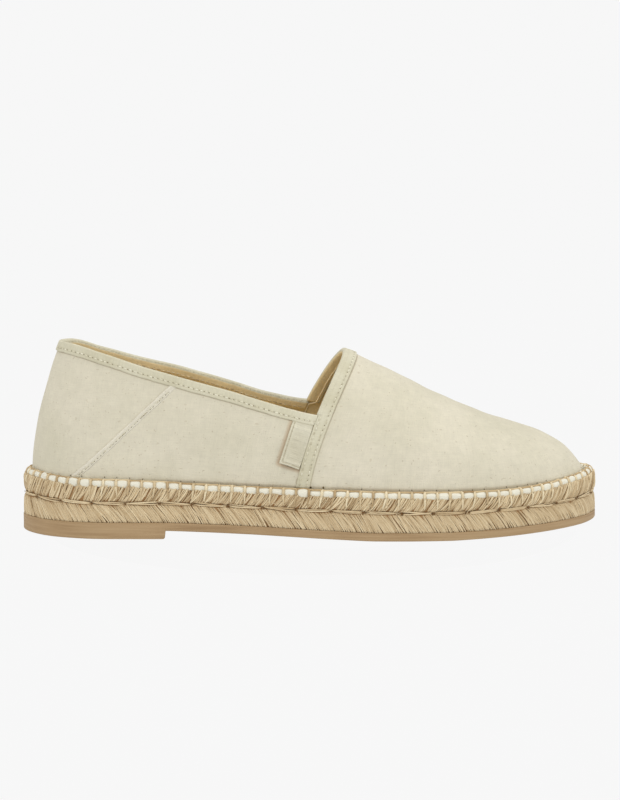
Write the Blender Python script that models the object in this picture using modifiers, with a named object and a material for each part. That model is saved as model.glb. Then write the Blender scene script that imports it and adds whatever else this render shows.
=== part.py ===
"""A flat espadrille for the right foot: a canvas slip-on upper on a plaited jute sole.

The toe points along +X, the outer side of the foot faces -Y and the ground is z = 0.
Every piece is worked out from one outline of the sole and one function of the last,
so a change of a size below moves all that follows it.
"""

import bpy
import bmesh
import numpy as np

# Sole sizes, in metres
SOLE_LENGTH = 0.290
BALL_WIDTH = 0.101
HEEL_WIDTH = 0.071
OUTSOLE_THICKNESS = 0.0043
HEEL_LIFT = 0.0041
HEEL_BLOCK_LENGTH = 0.0705
TOE_SPRING = 0.0024
JUTE_HEIGHT = 0.0166
JUTE_TAPER = 0.0006
EDGE_ROUNDING = 0.0013
PLAIT_PITCH = 0.0170
PLAIT_RELIEF = 0.0011

# Upper and trim sizes, in metres
UPPER_WALL = 0.0016
INSTEP_HEIGHT = 0.0680
BACK_HEIGHT = 0.0684
CORD_DIAMETER = 0.0038
INSOLE_THICKNESS = 0.0025
BINDING_WIDTH = 0.0044
TAPE_WIDTH = 0.0066
TAPE_THICKNESS = 0.0007
SEAM_WIDTH = 0.0026
SEAM_HEIGHT = 0.0005
TAB_WIDTH = 0.0096
TAB_LENGTH = 0.0214
TAB_THICKNESS = 0.0012
GAP = 0.0003
TAB_CLEARANCE = 5 * GAP

# How far the cord and the upper stand in from the edge of the jute
CORD_INSET = CORD_DIAMETER / 2 + JUTE_TAPER
UPPER_INSET = CORD_INSET + CORD_DIAMETER / 2 + GAP

# The sole's outline: station from the heel as a share of the length, and distance from the
# middle line as a share of the width there, outer side first and then back along the inner side
OUTLINE = (
    (0.000, 0.000),
    (0.035, -0.290),
    (0.105, -0.455),
    (0.190, -0.500),
    (0.300, -0.509),
    (0.400, -0.489),
    (0.500, -0.474),
    (0.600, -0.488),
    (0.680, -0.500),
    (0.770, -0.475),
    (0.860, -0.391),
    (0.930, -0.267),
    (0.980, -0.114),
    (1.000, 0.050),
    (0.975, 0.208),
    (0.925, 0.337),
    (0.850, 0.436),
    (0.770, 0.488),
    (0.710, 0.500),
    (0.620, 0.480),
    (0.520, 0.433),
    (0.420, 0.427),
    (0.320, 0.459),
    (0.200, 0.493),
    (0.110, 0.465),
    (0.035, 0.296),
)
# The width grows from the heel's to the ball's between these stations
WIDENING = (0.25, 0.60)

# The sole in side view: station, share of HEEL_LIFT, share of TOE_SPRING, share of JUTE_HEIGHT
SOLE_LINE = (
    (0.000, 1.00, 0.00, 1.13),
    (0.030, 1.00, 0.00, 1.10),
    (0.070, 1.00, 0.00, 1.04),
    (0.130, 1.00, 0.00, 1.01),
    (0.245, 1.00, 0.00, 0.99),
    (0.390, 0.62, 0.00, 0.99),
    (0.500, 0.25, 0.00, 1.01),
    (0.590, 0.00, 0.00, 1.04),
    (0.730, 0.00, 0.00, 1.00),
    (0.810, 0.00, 0.28, 0.97),
    (0.900, 0.00, 0.62, 0.96),
    (0.960, 0.00, 0.85, 1.00),
    (1.000, 0.00, 1.00, 1.10),
)

# Where the top of the foot runs, over the jute: station, share of INSTEP_HEIGHT.
# Behind the throat the line is only a guide for the quarters below it.
CREST = (
    (0.100, 1.52),
    (0.250, 1.46),
    (0.400, 1.22),
    (0.480, 1.08),
    (0.558, 0.992),
    (0.638, 0.843),
    (0.707, 0.698),
    (0.776, 0.566),
    (0.833, 0.474),
    (0.862, 0.436),
    (0.900, 0.380),
)

# The top of the collar's tape, over the jute: station, share of BACK_HEIGHT, and how much
# of it the outer side stands higher and the inner side lower
COLLAR = (
    (0.050, 1.014, 0.000),
    (0.085, 1.011, 0.000),
    (0.140, 0.947, 0.011),
    (0.210, 0.859, 0.007),
    (0.290, 0.777, 0.001),
    (0.360, 0.703, 0.005),
    (0.430, 0.621, 0.008),
    (0.480, 0.577, 0.005),
    (0.540, 0.550, 0.000),
)

# The ribs of the last, from the heel's back round one side to the toe. way: share of the
# side's length; crest: station where the rib meets the crest; wall: height of its lower
# handle as a share of its rise; bulge: that handle's reach outwards, as a share of
# BALL_WIDTH; crown: reach of the upper handle, as a share of the way out; lean: how far
# the rib follows its height forwards, instead of fanning out
RIBS = (
    (0.000, 0.158, 0.304, 0.008, 0.480, 0.00),
    (0.070, 0.163, 0.310, 0.008, 0.520, 0.05),
    (0.140, 0.185, 0.320, 0.008, 0.660, 0.35),
    (0.240, 0.260, 0.330, 0.008, 0.770, 0.90),
    (0.340, 0.385, 0.380, 0.012, 0.780, 1.00),
    (0.457, 0.558, 0.500, 0.022, 0.720, 1.00),
    (0.560, 0.635, 0.500, 0.018, 0.700, 1.00),
    (0.680, 0.715, 0.500, 0.012, 0.680, 0.80),
    (0.790, 0.772, 0.500, 0.005, 0.660, 0.40),
    (0.890, 0.815, 0.540, -0.020, 0.560, 0.10),
    (1.000, 0.848, 0.615, -0.086, 0.395, 0.00),
)
THROAT_WAY = 0.457
LEAN_LOW = 0.19

# The heel panel's seam in side view: station, share of BACK_HEIGHT over the jute
SEAM = ((0.082, 0.060), (0.2486, 0.700))

# Mesh fineness
SOLE_COLUMNS = 80
QUARTER_COLUMNS = 17
VAMP_COLUMNS = 17
QUARTER_ROWS = 7
CROWN_ROWS = 8
TAPE_STEPS = 14
CORD_POINTS = 96
OUTER, INNER = -1, 1


def smooth(keys, values, at):
    """A smooth curve through rows of values, read at the given keys."""
    keys, values, at = (np.asarray(a, float) for a in (keys, values, at))
    flat = values.ndim == 1
    values = values.reshape(len(keys), -1)
    steps = np.diff(keys)[:, None]
    slopes = np.diff(values, axis=0) / steps
    tangents = np.empty_like(values)
    tangents[0], tangents[-1] = slopes[0], slopes[-1]
    tangents[1:-1] = (slopes[:-1] * steps[1:] + slopes[1:] * steps[:-1]) / (steps[:-1] + steps[1:])
    i = np.clip(np.searchsorted(keys, at.ravel(), side="right") - 1, 0, len(keys) - 2)
    h = steps[i]
    t = (at.reshape(-1, 1) - keys[i][:, None]) / h
    found = (
        values[i] * (2 * t**3 - 3 * t**2 + 1)
        + tangents[i] * h * (t**3 - 2 * t**2 + t)
        + values[i + 1] * (3 * t**2 - 2 * t**3)
        + tangents[i + 1] * h * (t**3 - t**2)
    )
    return found.reshape(at.shape if flat else at.shape + (-1,))


def column(table, index):
    return np.array([row[index] for row in table])


def trace_outline():
    """The sole's outline as two dense lines from heel to toe, outer side and inner side."""
    grown = np.clip((column(OUTLINE, 0) - WIDENING[0]) / (WIDENING[1] - WIDENING[0]), 0, 1)
    width = HEEL_WIDTH + (BALL_WIDTH - HEEL_WIDTH) * grown**2 * (3 - 2 * grown)
    points = np.stack([column(OUTLINE, 0) * SOLE_LENGTH, column(OUTLINE, 1) * width], 1)
    ring = np.vstack([points[-3:], points, points[:4]])
    key = np.concatenate([[0], np.cumsum(np.hypot(*np.diff(ring, axis=0).T))])
    dense = smooth(key, ring, np.linspace(key[3], key[3 + len(points)], 2401))[:-1]
    dense -= (dense.min(0) + dense.max(0)) / 2
    dense = np.roll(dense, -dense[:, 0].argmin(), axis=0)
    toe = dense[:, 0].argmax()
    return {OUTER: dense[: toe + 1], INNER: np.vstack([dense[toe:], dense[:1]])[::-1]}


SIDES = trace_outline()
HEEL_X = SIDES[OUTER][0, 0]


def side_line(side, way, inset=0.0):
    """Plan points at shares of the way from heel to toe along one side, moved in by inset."""
    line = SIDES[side]
    length = np.concatenate([[0], np.cumsum(np.hypot(*np.diff(line, axis=0).T))])
    run = np.gradient(line, axis=0)
    run[0], run[-1] = (0, side), (0, -side)
    run /= np.hypot(*run.T)[:, None]
    inward = np.stack([run[:, 1], -run[:, 0]], 1) * side
    share = length / length[-1]
    way = np.asarray(way, float)
    inset = np.asarray(inset, float)
    found = [np.interp(way, share, line[:, k]) + inset * np.interp(way, share, inward[:, k]) for k in (0, 1)]
    return np.stack(found, -1)


def side_length(side):
    return np.hypot(*np.diff(SIDES[side], axis=0).T).sum()


def way_at(side, x):
    """The share of the way along one side where it passes x."""
    line = SIDES[side]
    length = np.concatenate([[0], np.cumsum(np.hypot(*np.diff(line, axis=0).T))])
    return np.interp(x, line[:, 0], length / length[-1])


def station(x):
    return (np.asarray(x) - HEEL_X) / SOLE_LENGTH


def underside(x):
    """Height of the outsole sheet's lower face, heel block left out."""
    lift, spring = (np.interp(station(x), column(SOLE_LINE, 0), column(SOLE_LINE, k)) for k in (1, 2))
    return lift * HEEL_LIFT + spring * TOE_SPRING


def jute_foot(x):
    return underside(x) + OUTSOLE_THICKNESS + GAP


def jute_top(x):
    share = np.interp(station(x), column(SOLE_LINE, 0), column(SOLE_LINE, 3))
    return jute_foot(x) + share * JUTE_HEIGHT


def crest_height(x):
    share = smooth(column(CREST, 0), column(CREST, 1), station(x))
    return jute_top(x) + share * INSTEP_HEIGHT


def collar_height(side, x):
    """Height of the canvas's edge, under the tape's fold."""
    share, tilt = (smooth(column(COLLAR, 0), column(COLLAR, k), station(x)) for k in (1, 2))
    share -= side * np.maximum(tilt, 0)
    return jute_top(x) + share * BACK_HEIGHT - TAPE_THICKNESS - GAP


def middle_line(x):
    """Distance of the foot's middle line from the shoe's axis, midway between the two sides."""
    outer, inner = (side_line(s, way_at(s, x))[..., 1] for s in (OUTER, INNER))
    return (outer + inner) / 2 * np.clip(station(x) / 0.3, 0, 1)


def rib(side, way):
    """The four handles of the last's ribs at the given ways, each a row of x, y, z."""
    way = np.asarray(way, float)
    crest_x, wall, bulge, crown, lean = (
        smooth(column(RIBS, 0), column(RIBS, k), way) for k in range(1, 6)
    )
    foot = side_line(side, way, UPPER_INSET)
    out = foot - side_line(side, way, UPPER_INSET + 0.001)
    out /= np.hypot(out[..., 0], out[..., 1])[..., None]
    top_x = HEEL_X + crest_x * SOLE_LENGTH
    top = np.stack([top_x, middle_line(top_x)], -1)
    foot_z = jute_top(foot[..., 0]) + GAP
    top_z = crest_height(top_x)
    slope = (crest_height(top_x + 0.001) - crest_height(top_x - 0.001)) / 0.002
    low = foot + out * (bulge * BALL_WIDTH)[..., None]
    low[..., 0] += LEAN_LOW * lean * (top[..., 0] - foot[..., 0])
    high = top + (foot - top) * crown[..., None]
    high[..., 0] = top[..., 0] + (foot[..., 0] - top[..., 0]) * crown * (1 - lean)
    low_z = foot_z + wall * (top_z - foot_z)
    high_z = top_z + slope * (high[..., 0] - top[..., 0])
    plan = np.stack([foot, low, high, top], -2)
    height = np.stack([foot_z, low_z, high_z, top_z], -1)
    return np.concatenate([plan, height[..., None]], -1)


def last_point(side, way, rise):
    """Points of the last's surface; rise runs from 0 at the jute to 1 at the crest."""
    handles = rib(side, way)
    t = np.asarray(rise, float)[..., None]
    parts = ((1 - t) ** 3, 3 * (1 - t) ** 2 * t, 3 * (1 - t) * t**2, t**3)
    return sum(handles[..., k, :] * part for k, part in enumerate(parts))


def unit(vectors):
    return vectors / np.maximum(np.linalg.norm(vectors, axis=-1), 1e-12)[..., None]


def last_frame(side, way, rise):
    """The surface's outward normal and its direction upwards along the rib."""
    way, rise = np.asarray(way, float), np.asarray(rise, float)
    step = 0.002
    low, high = np.clip(way - step, 0, 1), np.clip(way + step, 0, 1)
    along = last_point(side, high, rise) - last_point(side, low, rise)
    down, up = np.clip(rise - step, 0, 1), np.clip(rise + step, 0, 1)
    upward = unit(last_point(side, way, up) - last_point(side, way, down))
    return unit(np.cross(along, upward)) * -side, upward


def upper_point(side, way, rise, out=0.0, up=0.0):
    """A point out of the upper's outer face by out, and past it along the rib by up."""
    normal, upward = last_frame(side, way, rise)
    out, up = np.asarray(out, float)[..., None], np.asarray(up, float)[..., None]
    return last_point(side, way, rise) + normal * out + upward * up


def rise_at(side, way, drop=0.0):
    """The rise at which each rib passes the collar's edge, or a height that far below it."""
    rises = np.linspace(0, 0.9, 181)
    found = []
    for one in np.atleast_1d(way):
        points = last_point(side, np.full_like(rises, one), rises)
        over = points[:, 2] - collar_height(side, points[:, 0]) + drop
        k = int(np.argmax(over > 0))
        found.append(rises[k - 1] - over[k - 1] * (rises[k] - rises[k - 1]) / (over[k] - over[k - 1]))
    return np.array(found)


def place_on_side(side, x, z):
    """The way and rise of the point of the last that is seen at x and z from the side."""
    x, z = np.asarray(x, float), np.asarray(z, float)
    way, rise = way_at(side, x), np.full(x.shape, 0.2)
    step = 0.001
    for _ in range(12):
        here = last_point(side, way, rise)
        by_way = (last_point(side, way + step, rise) - here) / step
        by_rise = (last_point(side, way, rise + step) - here) / step
        miss_x, miss_z = x - here[..., 0], z - here[..., 2]
        area = by_way[..., 0] * by_rise[..., 2] - by_rise[..., 0] * by_way[..., 2]
        way = np.clip(way + (miss_x * by_rise[..., 2] - by_rise[..., 0] * miss_z) / area, 0, 1)
        rise = np.clip(rise + (by_way[..., 0] * miss_z - by_way[..., 2] * miss_x) / area, 0, 1)
    return way, rise


def clear_scene():
    for old in list(bpy.data.objects):
        bpy.data.objects.remove(old)
    shoe = bpy.data.collections.new("espadrille")
    bpy.context.scene.collection.children.link(shoe)
    return shoe


SHOE = clear_scene()


def material(name, colour, roughness):
    made = bpy.data.materials.new(name)
    made.use_nodes = True
    shader = made.node_tree.nodes["Principled BSDF"]
    shader.inputs["Base Color"].default_value = (*colour, 1)
    shader.inputs["Roughness"].default_value = roughness
    shader.inputs["Metallic"].default_value = 0.0
    return made


def mesh_object(name, points, faces, finish, sharp=50):
    """An object from points and faces, shaded smooth where it is round."""
    mesh = bpy.data.meshes.new(name)
    mesh.from_pydata([tuple(map(float, p)) for p in points], [], faces)
    made = bmesh.new()
    made.from_mesh(mesh)
    bmesh.ops.remove_doubles(made, verts=made.verts, dist=1e-6)
    bmesh.ops.recalc_face_normals(made, faces=made.faces)
    made.to_mesh(mesh)
    made.free()
    mesh.shade_smooth()
    mesh.set_sharp_from_angle(angle=np.radians(sharp))
    mesh.materials.append(finish)
    placed = bpy.data.objects.new(name, mesh)
    SHOE.objects.link(placed)
    return placed


def grid_faces(rows, columns, start=0, around=False):
    """Quads between the rows of a grid of points, closed round the columns if asked."""
    ends = columns if around else columns - 1
    return [
        (
            start + r * columns + c,
            start + r * columns + (c + 1) % columns,
            start + (r + 1) * columns + (c + 1) % columns,
            start + (r + 1) * columns + c,
        )
        for r in range(rows - 1)
        for c in range(ends)
    ]


def apply_modifiers(target):
    """Makes the modifiers' result the object's own mesh."""
    graph = bpy.context.evaluated_depsgraph_get()
    mesh = bpy.data.meshes.new_from_object(target.evaluated_get(graph))
    target.modifiers.clear()
    target.data = mesh
    return target


def join(target, other):
    """Unites two overlapping solids into one."""
    cut = target.modifiers.new("join", "BOOLEAN")
    cut.operation = "UNION"
    cut.solver = "EXACT"
    cut.object = other
    apply_modifiers(target)
    bpy.data.objects.remove(other)
    return target


def layer(name, ways, rows, finish):
    """A sole layer: each row is a ring round the sole, and the first and last are capped.

    ways holds the shares of the way for each side; a row gives, for a side and those ways,
    its inset and its heights.
    """
    rings = []
    for row in rows:
        ring = []
        for side in (OUTER, INNER):
            inset, height = row(side, ways[side])
            plan = side_line(side, ways[side], inset)
            points = np.column_stack([plan, height(plan[:, 0])])
            ring.append(points if side == OUTER else points[::-1][1:-1])
        rings.append(np.vstack(ring))
    count = len(rings[0])
    half = len(ways[OUTER])
    faces = grid_faces(len(rings), count, around=True)
    for start in (0, (len(rings) - 1) * count):
        for k in range(half - 1):
            corners = [k, k + 1, (count - k - 1) % count, (count - k) % count]
            faces.append(tuple(start + c for c in dict.fromkeys(corners)))
    return mesh_object(name, np.vstack(rings), faces, finish)


def even_ways(count):
    return {side: np.linspace(0, 1, count + 1) for side in (OUTER, INNER)}


def build_outsole(finish):
    """The moulded sheet under the jute, thick under the heel, with a square heel breast."""
    share = (1 - np.cos(np.linspace(0, np.pi, 41))) / 2
    x = HEEL_X + share * SOLE_LENGTH
    breast = HEEL_X + HEEL_BLOCK_LENGTH
    x = np.sort(np.append(x, [breast, breast + GAP]))
    ways = {side: way_at(side, x) for side in (OUTER, INNER)}

    def ground(at):
        return np.where(at > breast + GAP / 2, underside(at), 0.0)

    def ring(inset, height):
        return lambda side, way: (inset, height)

    rows = (
        ring(0, lambda at: underside(at) + OUTSOLE_THICKNESS),
        ring(0, lambda at: ground(at) + EDGE_ROUNDING),
        ring(EDGE_ROUNDING * 0.3, lambda at: ground(at) + EDGE_ROUNDING * 0.3),
        ring(EDGE_ROUNDING, ground),
    )
    return layer("outsole", ways, rows, finish)


def plait(side, way, share):
    """How far the plait's side lies in, at a share of the jute's height over the outsole."""
    groove = 0.56
    turns = round(side_length(side) / PLAIT_PITCH)
    lower = share < groove
    across = share / groove if lower else (share - groove) / (1 - groove)
    slant = -0.45 * (1 - across) if lower else -0.55 * across
    lobe = 0.5 + 0.5 * np.cos(2 * np.pi * (turns * way + slant))
    round_over = 1 - abs(2 * across - 1) ** 2.5
    return PLAIT_RELIEF * (1 - round_over * (0.45 + 0.55 * lobe))


def build_jute_sole(finish):
    """The plaited jute, with its two rows of slanting lobes and the groove between them."""

    def ring(share):
        def row(side, way):
            inset = plait(side, way, share) + share * JUTE_TAPER
            return inset, lambda x: jute_foot(x) + share * (jute_top(x) - jute_foot(x))

        return row

    rows = [ring(share) for share in (0, 0.10, 0.28, 0.46, 0.56, 0.66, 0.80, 0.93, 1.0)]
    return layer("jute_sole", even_ways(SOLE_COLUMNS), rows, finish)


def room_inside(side, way):
    """How far in from the sole's edge the upper's inner face reaches, as high as the insole."""
    rises = np.linspace(0, 0.25, 51)
    edge = side_line(side, way)
    inward = unit(side_line(side, way, 0.001) - edge)
    inner = upper_point(side, np.full(rises.shape, way), rises, -UPPER_WALL - 2 * GAP)
    under = inner[:, 2] < jute_top(inner[:, 0]) + INSOLE_THICKNESS + 3 * GAP
    return ((inner[under, :2] - edge) @ inward).max()


def build_insole(finish):
    """The sock lining that lies on the jute, inside the upper."""
    rounding = INSOLE_THICKNESS / 4
    ways = even_ways(36)
    room = {side: np.array([room_inside(side, way) for way in ways[side]]) for side in (OUTER, INNER)}

    def row(more, height):
        return lambda side, way: (room[side] + more, lambda x: jute_top(x) + height)

    rows = (
        row(0, GAP),
        row(0, GAP + INSOLE_THICKNESS - rounding),
        row(rounding, GAP + INSOLE_THICKNESS),
    )
    return layer("insole", ways, rows, finish)


def build_welt_cord(finish):
    """The round cord that hides the join of the canvas and the jute."""
    half = CORD_POINTS // 2
    way = np.linspace(0, 1, half + 1)
    outer, inner = (side_line(side, way, CORD_INSET) for side in (OUTER, INNER))
    plan = np.vstack([outer, inner[::-1][1:-1]])
    height = jute_top(plan[:, 0]) + GAP + CORD_DIAMETER / 2
    curve = bpy.data.curves.new("welt_cord", "CURVE")
    curve.dimensions = "3D"
    curve.bevel_depth = CORD_DIAMETER / 2
    curve.bevel_resolution = 2
    line = curve.splines.new("POLY")
    line.points.add(len(plan) - 1)
    for point, (x, y), z in zip(line.points, plan, height):
        point.co = (x, y, z, 1)
    line.use_cyclic_u = True
    curve.materials.append(finish)
    placed = bpy.data.objects.new("welt_cord", curve)
    SHOE.objects.link(placed)
    return placed


def quarter_ways():
    """Ways of the quarter's ribs, closer together round the heel."""
    share = np.linspace(0, 1, QUARTER_COLUMNS + 1)
    return THROAT_WAY * share**1.15


def vamp_ways():
    share = np.linspace(0, 1, VAMP_COLUMNS + 1)
    return THROAT_WAY + (1 - THROAT_WAY) * (1 - (1 - share) ** 1.1)


def upper_patch(side):
    """Points and faces of one side of the upper's outer face, quarter and vamp."""
    points, faces = [], []
    quarters, vamps = quarter_ways(), vamp_ways()
    corners = {one: float(rise_at(one, THROAT_WAY)[0]) for one in (OUTER, INNER)}
    low = np.linspace(0, 1, QUARTER_ROWS + 1)
    high = np.linspace(0, 1, CROWN_ROWS + 1)[1:]
    for way, top in zip(quarters, rise_at(side, quarters)):
        points.extend(last_point(side, np.full(low.shape, way), low * top))
    faces += grid_faces(len(quarters), len(low))
    start = len(points)
    for way in vamps:
        onward = (way - THROAT_WAY) / (1 - THROAT_WAY)
        corner = corners[side] + onward * ((corners[OUTER] + corners[INNER]) / 2 - corners[side])
        rises = np.concatenate([low * corner, corner + (1 - corner) * high])
        points.extend(last_point(side, np.full(rises.shape, way), rises))
    faces += grid_faces(len(vamps), QUARTER_ROWS + CROWN_ROWS + 1, start)
    return np.array(points), faces


def build_upper(finish):
    """The canvas: one open skin with the collar and throat cut out, then given its wall."""
    points, faces = upper_patch(OUTER)
    more_points, more_faces = upper_patch(INNER)
    faces += [tuple(c + len(points) for c in face) for face in more_faces]
    skin = mesh_object("upper", np.vstack([points, more_points]), faces, finish)
    wall = skin.modifiers.new("wall", "SOLIDIFY")
    wall.thickness = UPPER_WALL
    wall.offset = -1
    wall.use_even_offset = True
    apply_modifiers(skin)
    for corner in skin.data.vertices:
        corner.co.z = max(corner.co.z, float(jute_top(corner.co.x)) + GAP)
    for side in (OUTER, INNER):
        join(skin, seam_strip(side, finish))
    return skin


def strip(name, sections, finish):
    """A closed bar from a row of sections with the same count of points, capped at its ends."""
    count = len(sections[0])
    points = np.vstack(sections)
    faces = grid_faces(len(sections), count, around=True)
    last = (len(sections) - 1) * count
    faces += [tuple(range(count)), tuple(last + k for k in reversed(range(count)))]
    return mesh_object(name, points, faces, finish, sharp=35)


def seam_strip(side, finish):
    """The folded edge of the heel panel's seam, standing out of the wall."""
    share = np.linspace(0, 1, 9)
    x = HEEL_X + np.interp(share, (0, 1), column(SEAM, 0)) * SOLE_LENGTH
    z = jute_top(x) + np.interp(share, (0, 1), column(SEAM, 1)) * BACK_HEIGHT
    run = unit(np.stack([np.gradient(x), np.gradient(z)], -1))
    sections = []
    for k in range(len(x)):
        ring = []
        for across, out in ((-0.5, -0.5), (-0.5, 1.0), (0.5, 0.6), (0.5, -0.5)):
            far = across * SEAM_WIDTH
            way, rise = place_on_side(side, x[k] + far * run[k, 1], z[k] - far * run[k, 0])
            depth = SEAM_HEIGHT * out if out > 0 else UPPER_WALL * out
            ring.append(upper_point(side, way, rise, depth))
        sections.append(np.array(ring))
    return strip("seam", sections, finish)


def build_collar_binding(finish):
    """The tape folded over the collar's edge, from one throat corner round to the other."""
    near, far, inner = GAP, GAP + TAPE_THICKNESS, -UPPER_WALL - GAP
    # Each point: at the fold (0) or at the tape's lower edge (1), distance out, distance up
    section = (
        (1, far, 0),
        (0, far, 0),
        (0, 0.5 * far, 0.9 * far),
        (0, inner - 0.2 * far, 0.9 * far),
        (0, inner - TAPE_THICKNESS, 0),
        (1, inner - TAPE_THICKNESS, 0),
        (1, inner, 0),
        (0, inner, near),
        (0, near, near),
        (1, near, 0),
    )
    sections = []
    for side in (INNER, OUTER):
        ways = quarter_ways()
        ways[-1] -= 3 * GAP / side_length(side)
        fold, low = rise_at(side, ways), rise_at(side, ways, BINDING_WIDTH)
        rings = [
            [upper_point(side, way, (top, bottom)[end], out, up) for end, out, up in section]
            for way, top, bottom in zip(ways, fold, low)
        ]
        sections += rings[::-1] if side == INNER else rings[1:]
    return strip("collar_binding", sections, finish)


def beside_throat(side, rise, across, out):
    """A point of the upper beside the throat's edge, so far forwards of it and out."""
    step = 0.002
    stretch = 0
    for one in (OUTER, INNER):
        along = last_point(one, THROAT_WAY + step, rise) - last_point(one, THROAT_WAY, rise)
        upward = last_frame(one, THROAT_WAY, rise)[1]
        stretch += np.linalg.norm(along - upward * (along @ upward)) / step / 2
    return upper_point(side, THROAT_WAY + across / stretch, rise, out)


def throat_sections(section, lows):
    """Sections from a low rise on the outer side over the crest to one on the inner side."""
    sections = []
    for side in (OUTER, INNER):
        share = np.linspace(0, 1, TAPE_STEPS + 1)
        rises = lows[side] + (1 - lows[side]) * share
        rings = [[beside_throat(side, rise, across, out) for across, out in section] for rise in rises]
        sections += rings if side == OUTER else rings[::-1][1:]
    return sections


def build_throat_binding(finish):
    """The tape that runs up each side on the join of quarter and vamp and folds round the throat."""
    near, far, inner = GAP, GAP + TAPE_THICKNESS, -UPPER_WALL - 2 * GAP
    flat = ((0, near), (0, far), (TAPE_WIDTH, far), (TAPE_WIDTH, near))
    held = TAPE_THICKNESS / 8
    fold = (
        (TAPE_WIDTH / 2, far - held),
        (0, far - held),
        (-0.85 * far, 0.5 * far),
        (-0.85 * far, inner - 0.2 * far),
        (0, inner - TAPE_THICKNESS),
        (0.75 * TAPE_WIDTH, inner - TAPE_THICKNESS),
        (0.75 * TAPE_WIDTH, inner),
        (-near, inner),
        (-near, near + held),
        (TAPE_WIDTH / 2, near + held),
    )
    feet, corners = {}, {}
    for side in (OUTER, INNER):
        rises = np.linspace(0, 1, 401)
        ribs = last_point(side, np.full_like(rises, THROAT_WAY), rises)
        over = ribs[:, 2] - jute_top(ribs[:, 0])
        feet[side] = rises[np.argmax(over > CORD_DIAMETER + 2.5 * GAP)]
        corner = rise_at(side, THROAT_WAY)[0]
        start = np.interp(corner, rises, ribs[:, 2]) + TAPE_THICKNESS + 3 * GAP
        corners[side] = rises[np.argmax(ribs[:, 2] > start)]
    tape = strip("throat_binding", throat_sections(flat, feet), finish)
    return join(tape, strip("fold", throat_sections(fold, corners), finish))


def build_side_tab(finish):
    """The plain cloth tab on the outer side, in the corner of the two tapes."""
    top = rise_at(OUTER, THROAT_WAY, BINDING_WIDTH + TAB_CLEARANCE)[0]
    edge = last_point(OUTER, THROAT_WAY, np.linspace(0, top, 401))[:, [0, 2]]
    high = edge[-1]
    low = edge[np.argmax(np.hypot(*(edge - high).T) < TAB_LENGTH)]
    upward = unit(high - low)
    back = np.array([-upward[1], upward[0]])
    sections = []
    for along in np.linspace(0, TAB_LENGTH, 8):
        ring = []
        for across, out in ((2 * GAP, 0), (2 * GAP, 1), (TAB_WIDTH, 1), (TAB_WIDTH, 0)):
            x, z = low + upward * along + back * across
            way, rise = place_on_side(OUTER, x, z)
            ring.append(upper_point(OUTER, way, rise, GAP + out * TAB_THICKNESS))
        sections.append(ring)
    return strip("side_tab", sections, finish)


def main():
    canvas = material("canvas", (0.72, 0.68, 0.55), 0.9)
    tape = material("tape", (0.70, 0.66, 0.52), 0.85)
    jute = material("jute", (0.50, 0.38, 0.22), 0.95)
    cord = material("cord", (0.72, 0.65, 0.48), 0.9)
    rubber = material("outsole_rubber", (0.38, 0.27, 0.15), 0.6)
    lining = material("lining", (0.42, 0.30, 0.15), 0.9)
    build_outsole(rubber)
    build_jute_sole(jute)
    build_insole(lining)
    build_welt_cord(cord)
    build_upper(canvas)
    build_collar_binding(tape)
    build_throat_binding(tape)
    build_side_tab(tape)


main()
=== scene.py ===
"""The espadrille's looks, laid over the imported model: canvas, tapes, stitches, cord and jute.

The sizes and the tables of the sole and the last are the model's own. Every piece is read
from the same outline and the same surface at a finer step, so it sits where the model has it.
"""

import bpy
import bmesh
import numpy as np
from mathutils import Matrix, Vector


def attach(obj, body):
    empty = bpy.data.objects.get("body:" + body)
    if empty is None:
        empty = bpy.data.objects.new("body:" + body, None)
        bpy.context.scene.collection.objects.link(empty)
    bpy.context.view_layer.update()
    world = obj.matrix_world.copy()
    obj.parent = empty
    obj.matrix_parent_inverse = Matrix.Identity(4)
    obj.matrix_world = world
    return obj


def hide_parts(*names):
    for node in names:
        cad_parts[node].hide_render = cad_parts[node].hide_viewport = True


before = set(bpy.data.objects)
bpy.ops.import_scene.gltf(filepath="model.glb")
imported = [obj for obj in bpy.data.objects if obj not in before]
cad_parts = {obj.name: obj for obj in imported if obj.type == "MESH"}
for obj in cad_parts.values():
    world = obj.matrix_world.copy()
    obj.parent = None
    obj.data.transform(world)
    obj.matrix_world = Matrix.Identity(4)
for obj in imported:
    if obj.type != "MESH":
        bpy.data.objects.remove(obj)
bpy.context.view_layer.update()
RANDOM = np.random.default_rng(11)

# Sole sizes, in metres
SOLE_LENGTH = 0.290
BALL_WIDTH = 0.101
HEEL_WIDTH = 0.071
OUTSOLE_THICKNESS = 0.0043
HEEL_LIFT = 0.0041
HEEL_BLOCK_LENGTH = 0.0705
TOE_SPRING = 0.0024
JUTE_HEIGHT = 0.0166
JUTE_TAPER = 0.0006
EDGE_ROUNDING = 0.0013
PLAIT_PITCH = 0.0170
PLAIT_RELIEF = 0.0011

# Upper and trim sizes, in metres
UPPER_WALL = 0.0016
INSTEP_HEIGHT = 0.0680
BACK_HEIGHT = 0.0684
CORD_DIAMETER = 0.0038
INSOLE_THICKNESS = 0.0025
BINDING_WIDTH = 0.0044
TAPE_WIDTH = 0.0066
TAPE_THICKNESS = 0.0007
TAB_WIDTH = 0.0096
TAB_LENGTH = 0.0214
GAP = 0.0003
TAB_CLEARANCE = 5 * GAP

# How far the cord and the upper stand in from the edge of the jute
CORD_INSET = CORD_DIAMETER / 2 + JUTE_TAPER
UPPER_INSET = CORD_INSET + CORD_DIAMETER / 2 + GAP

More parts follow.
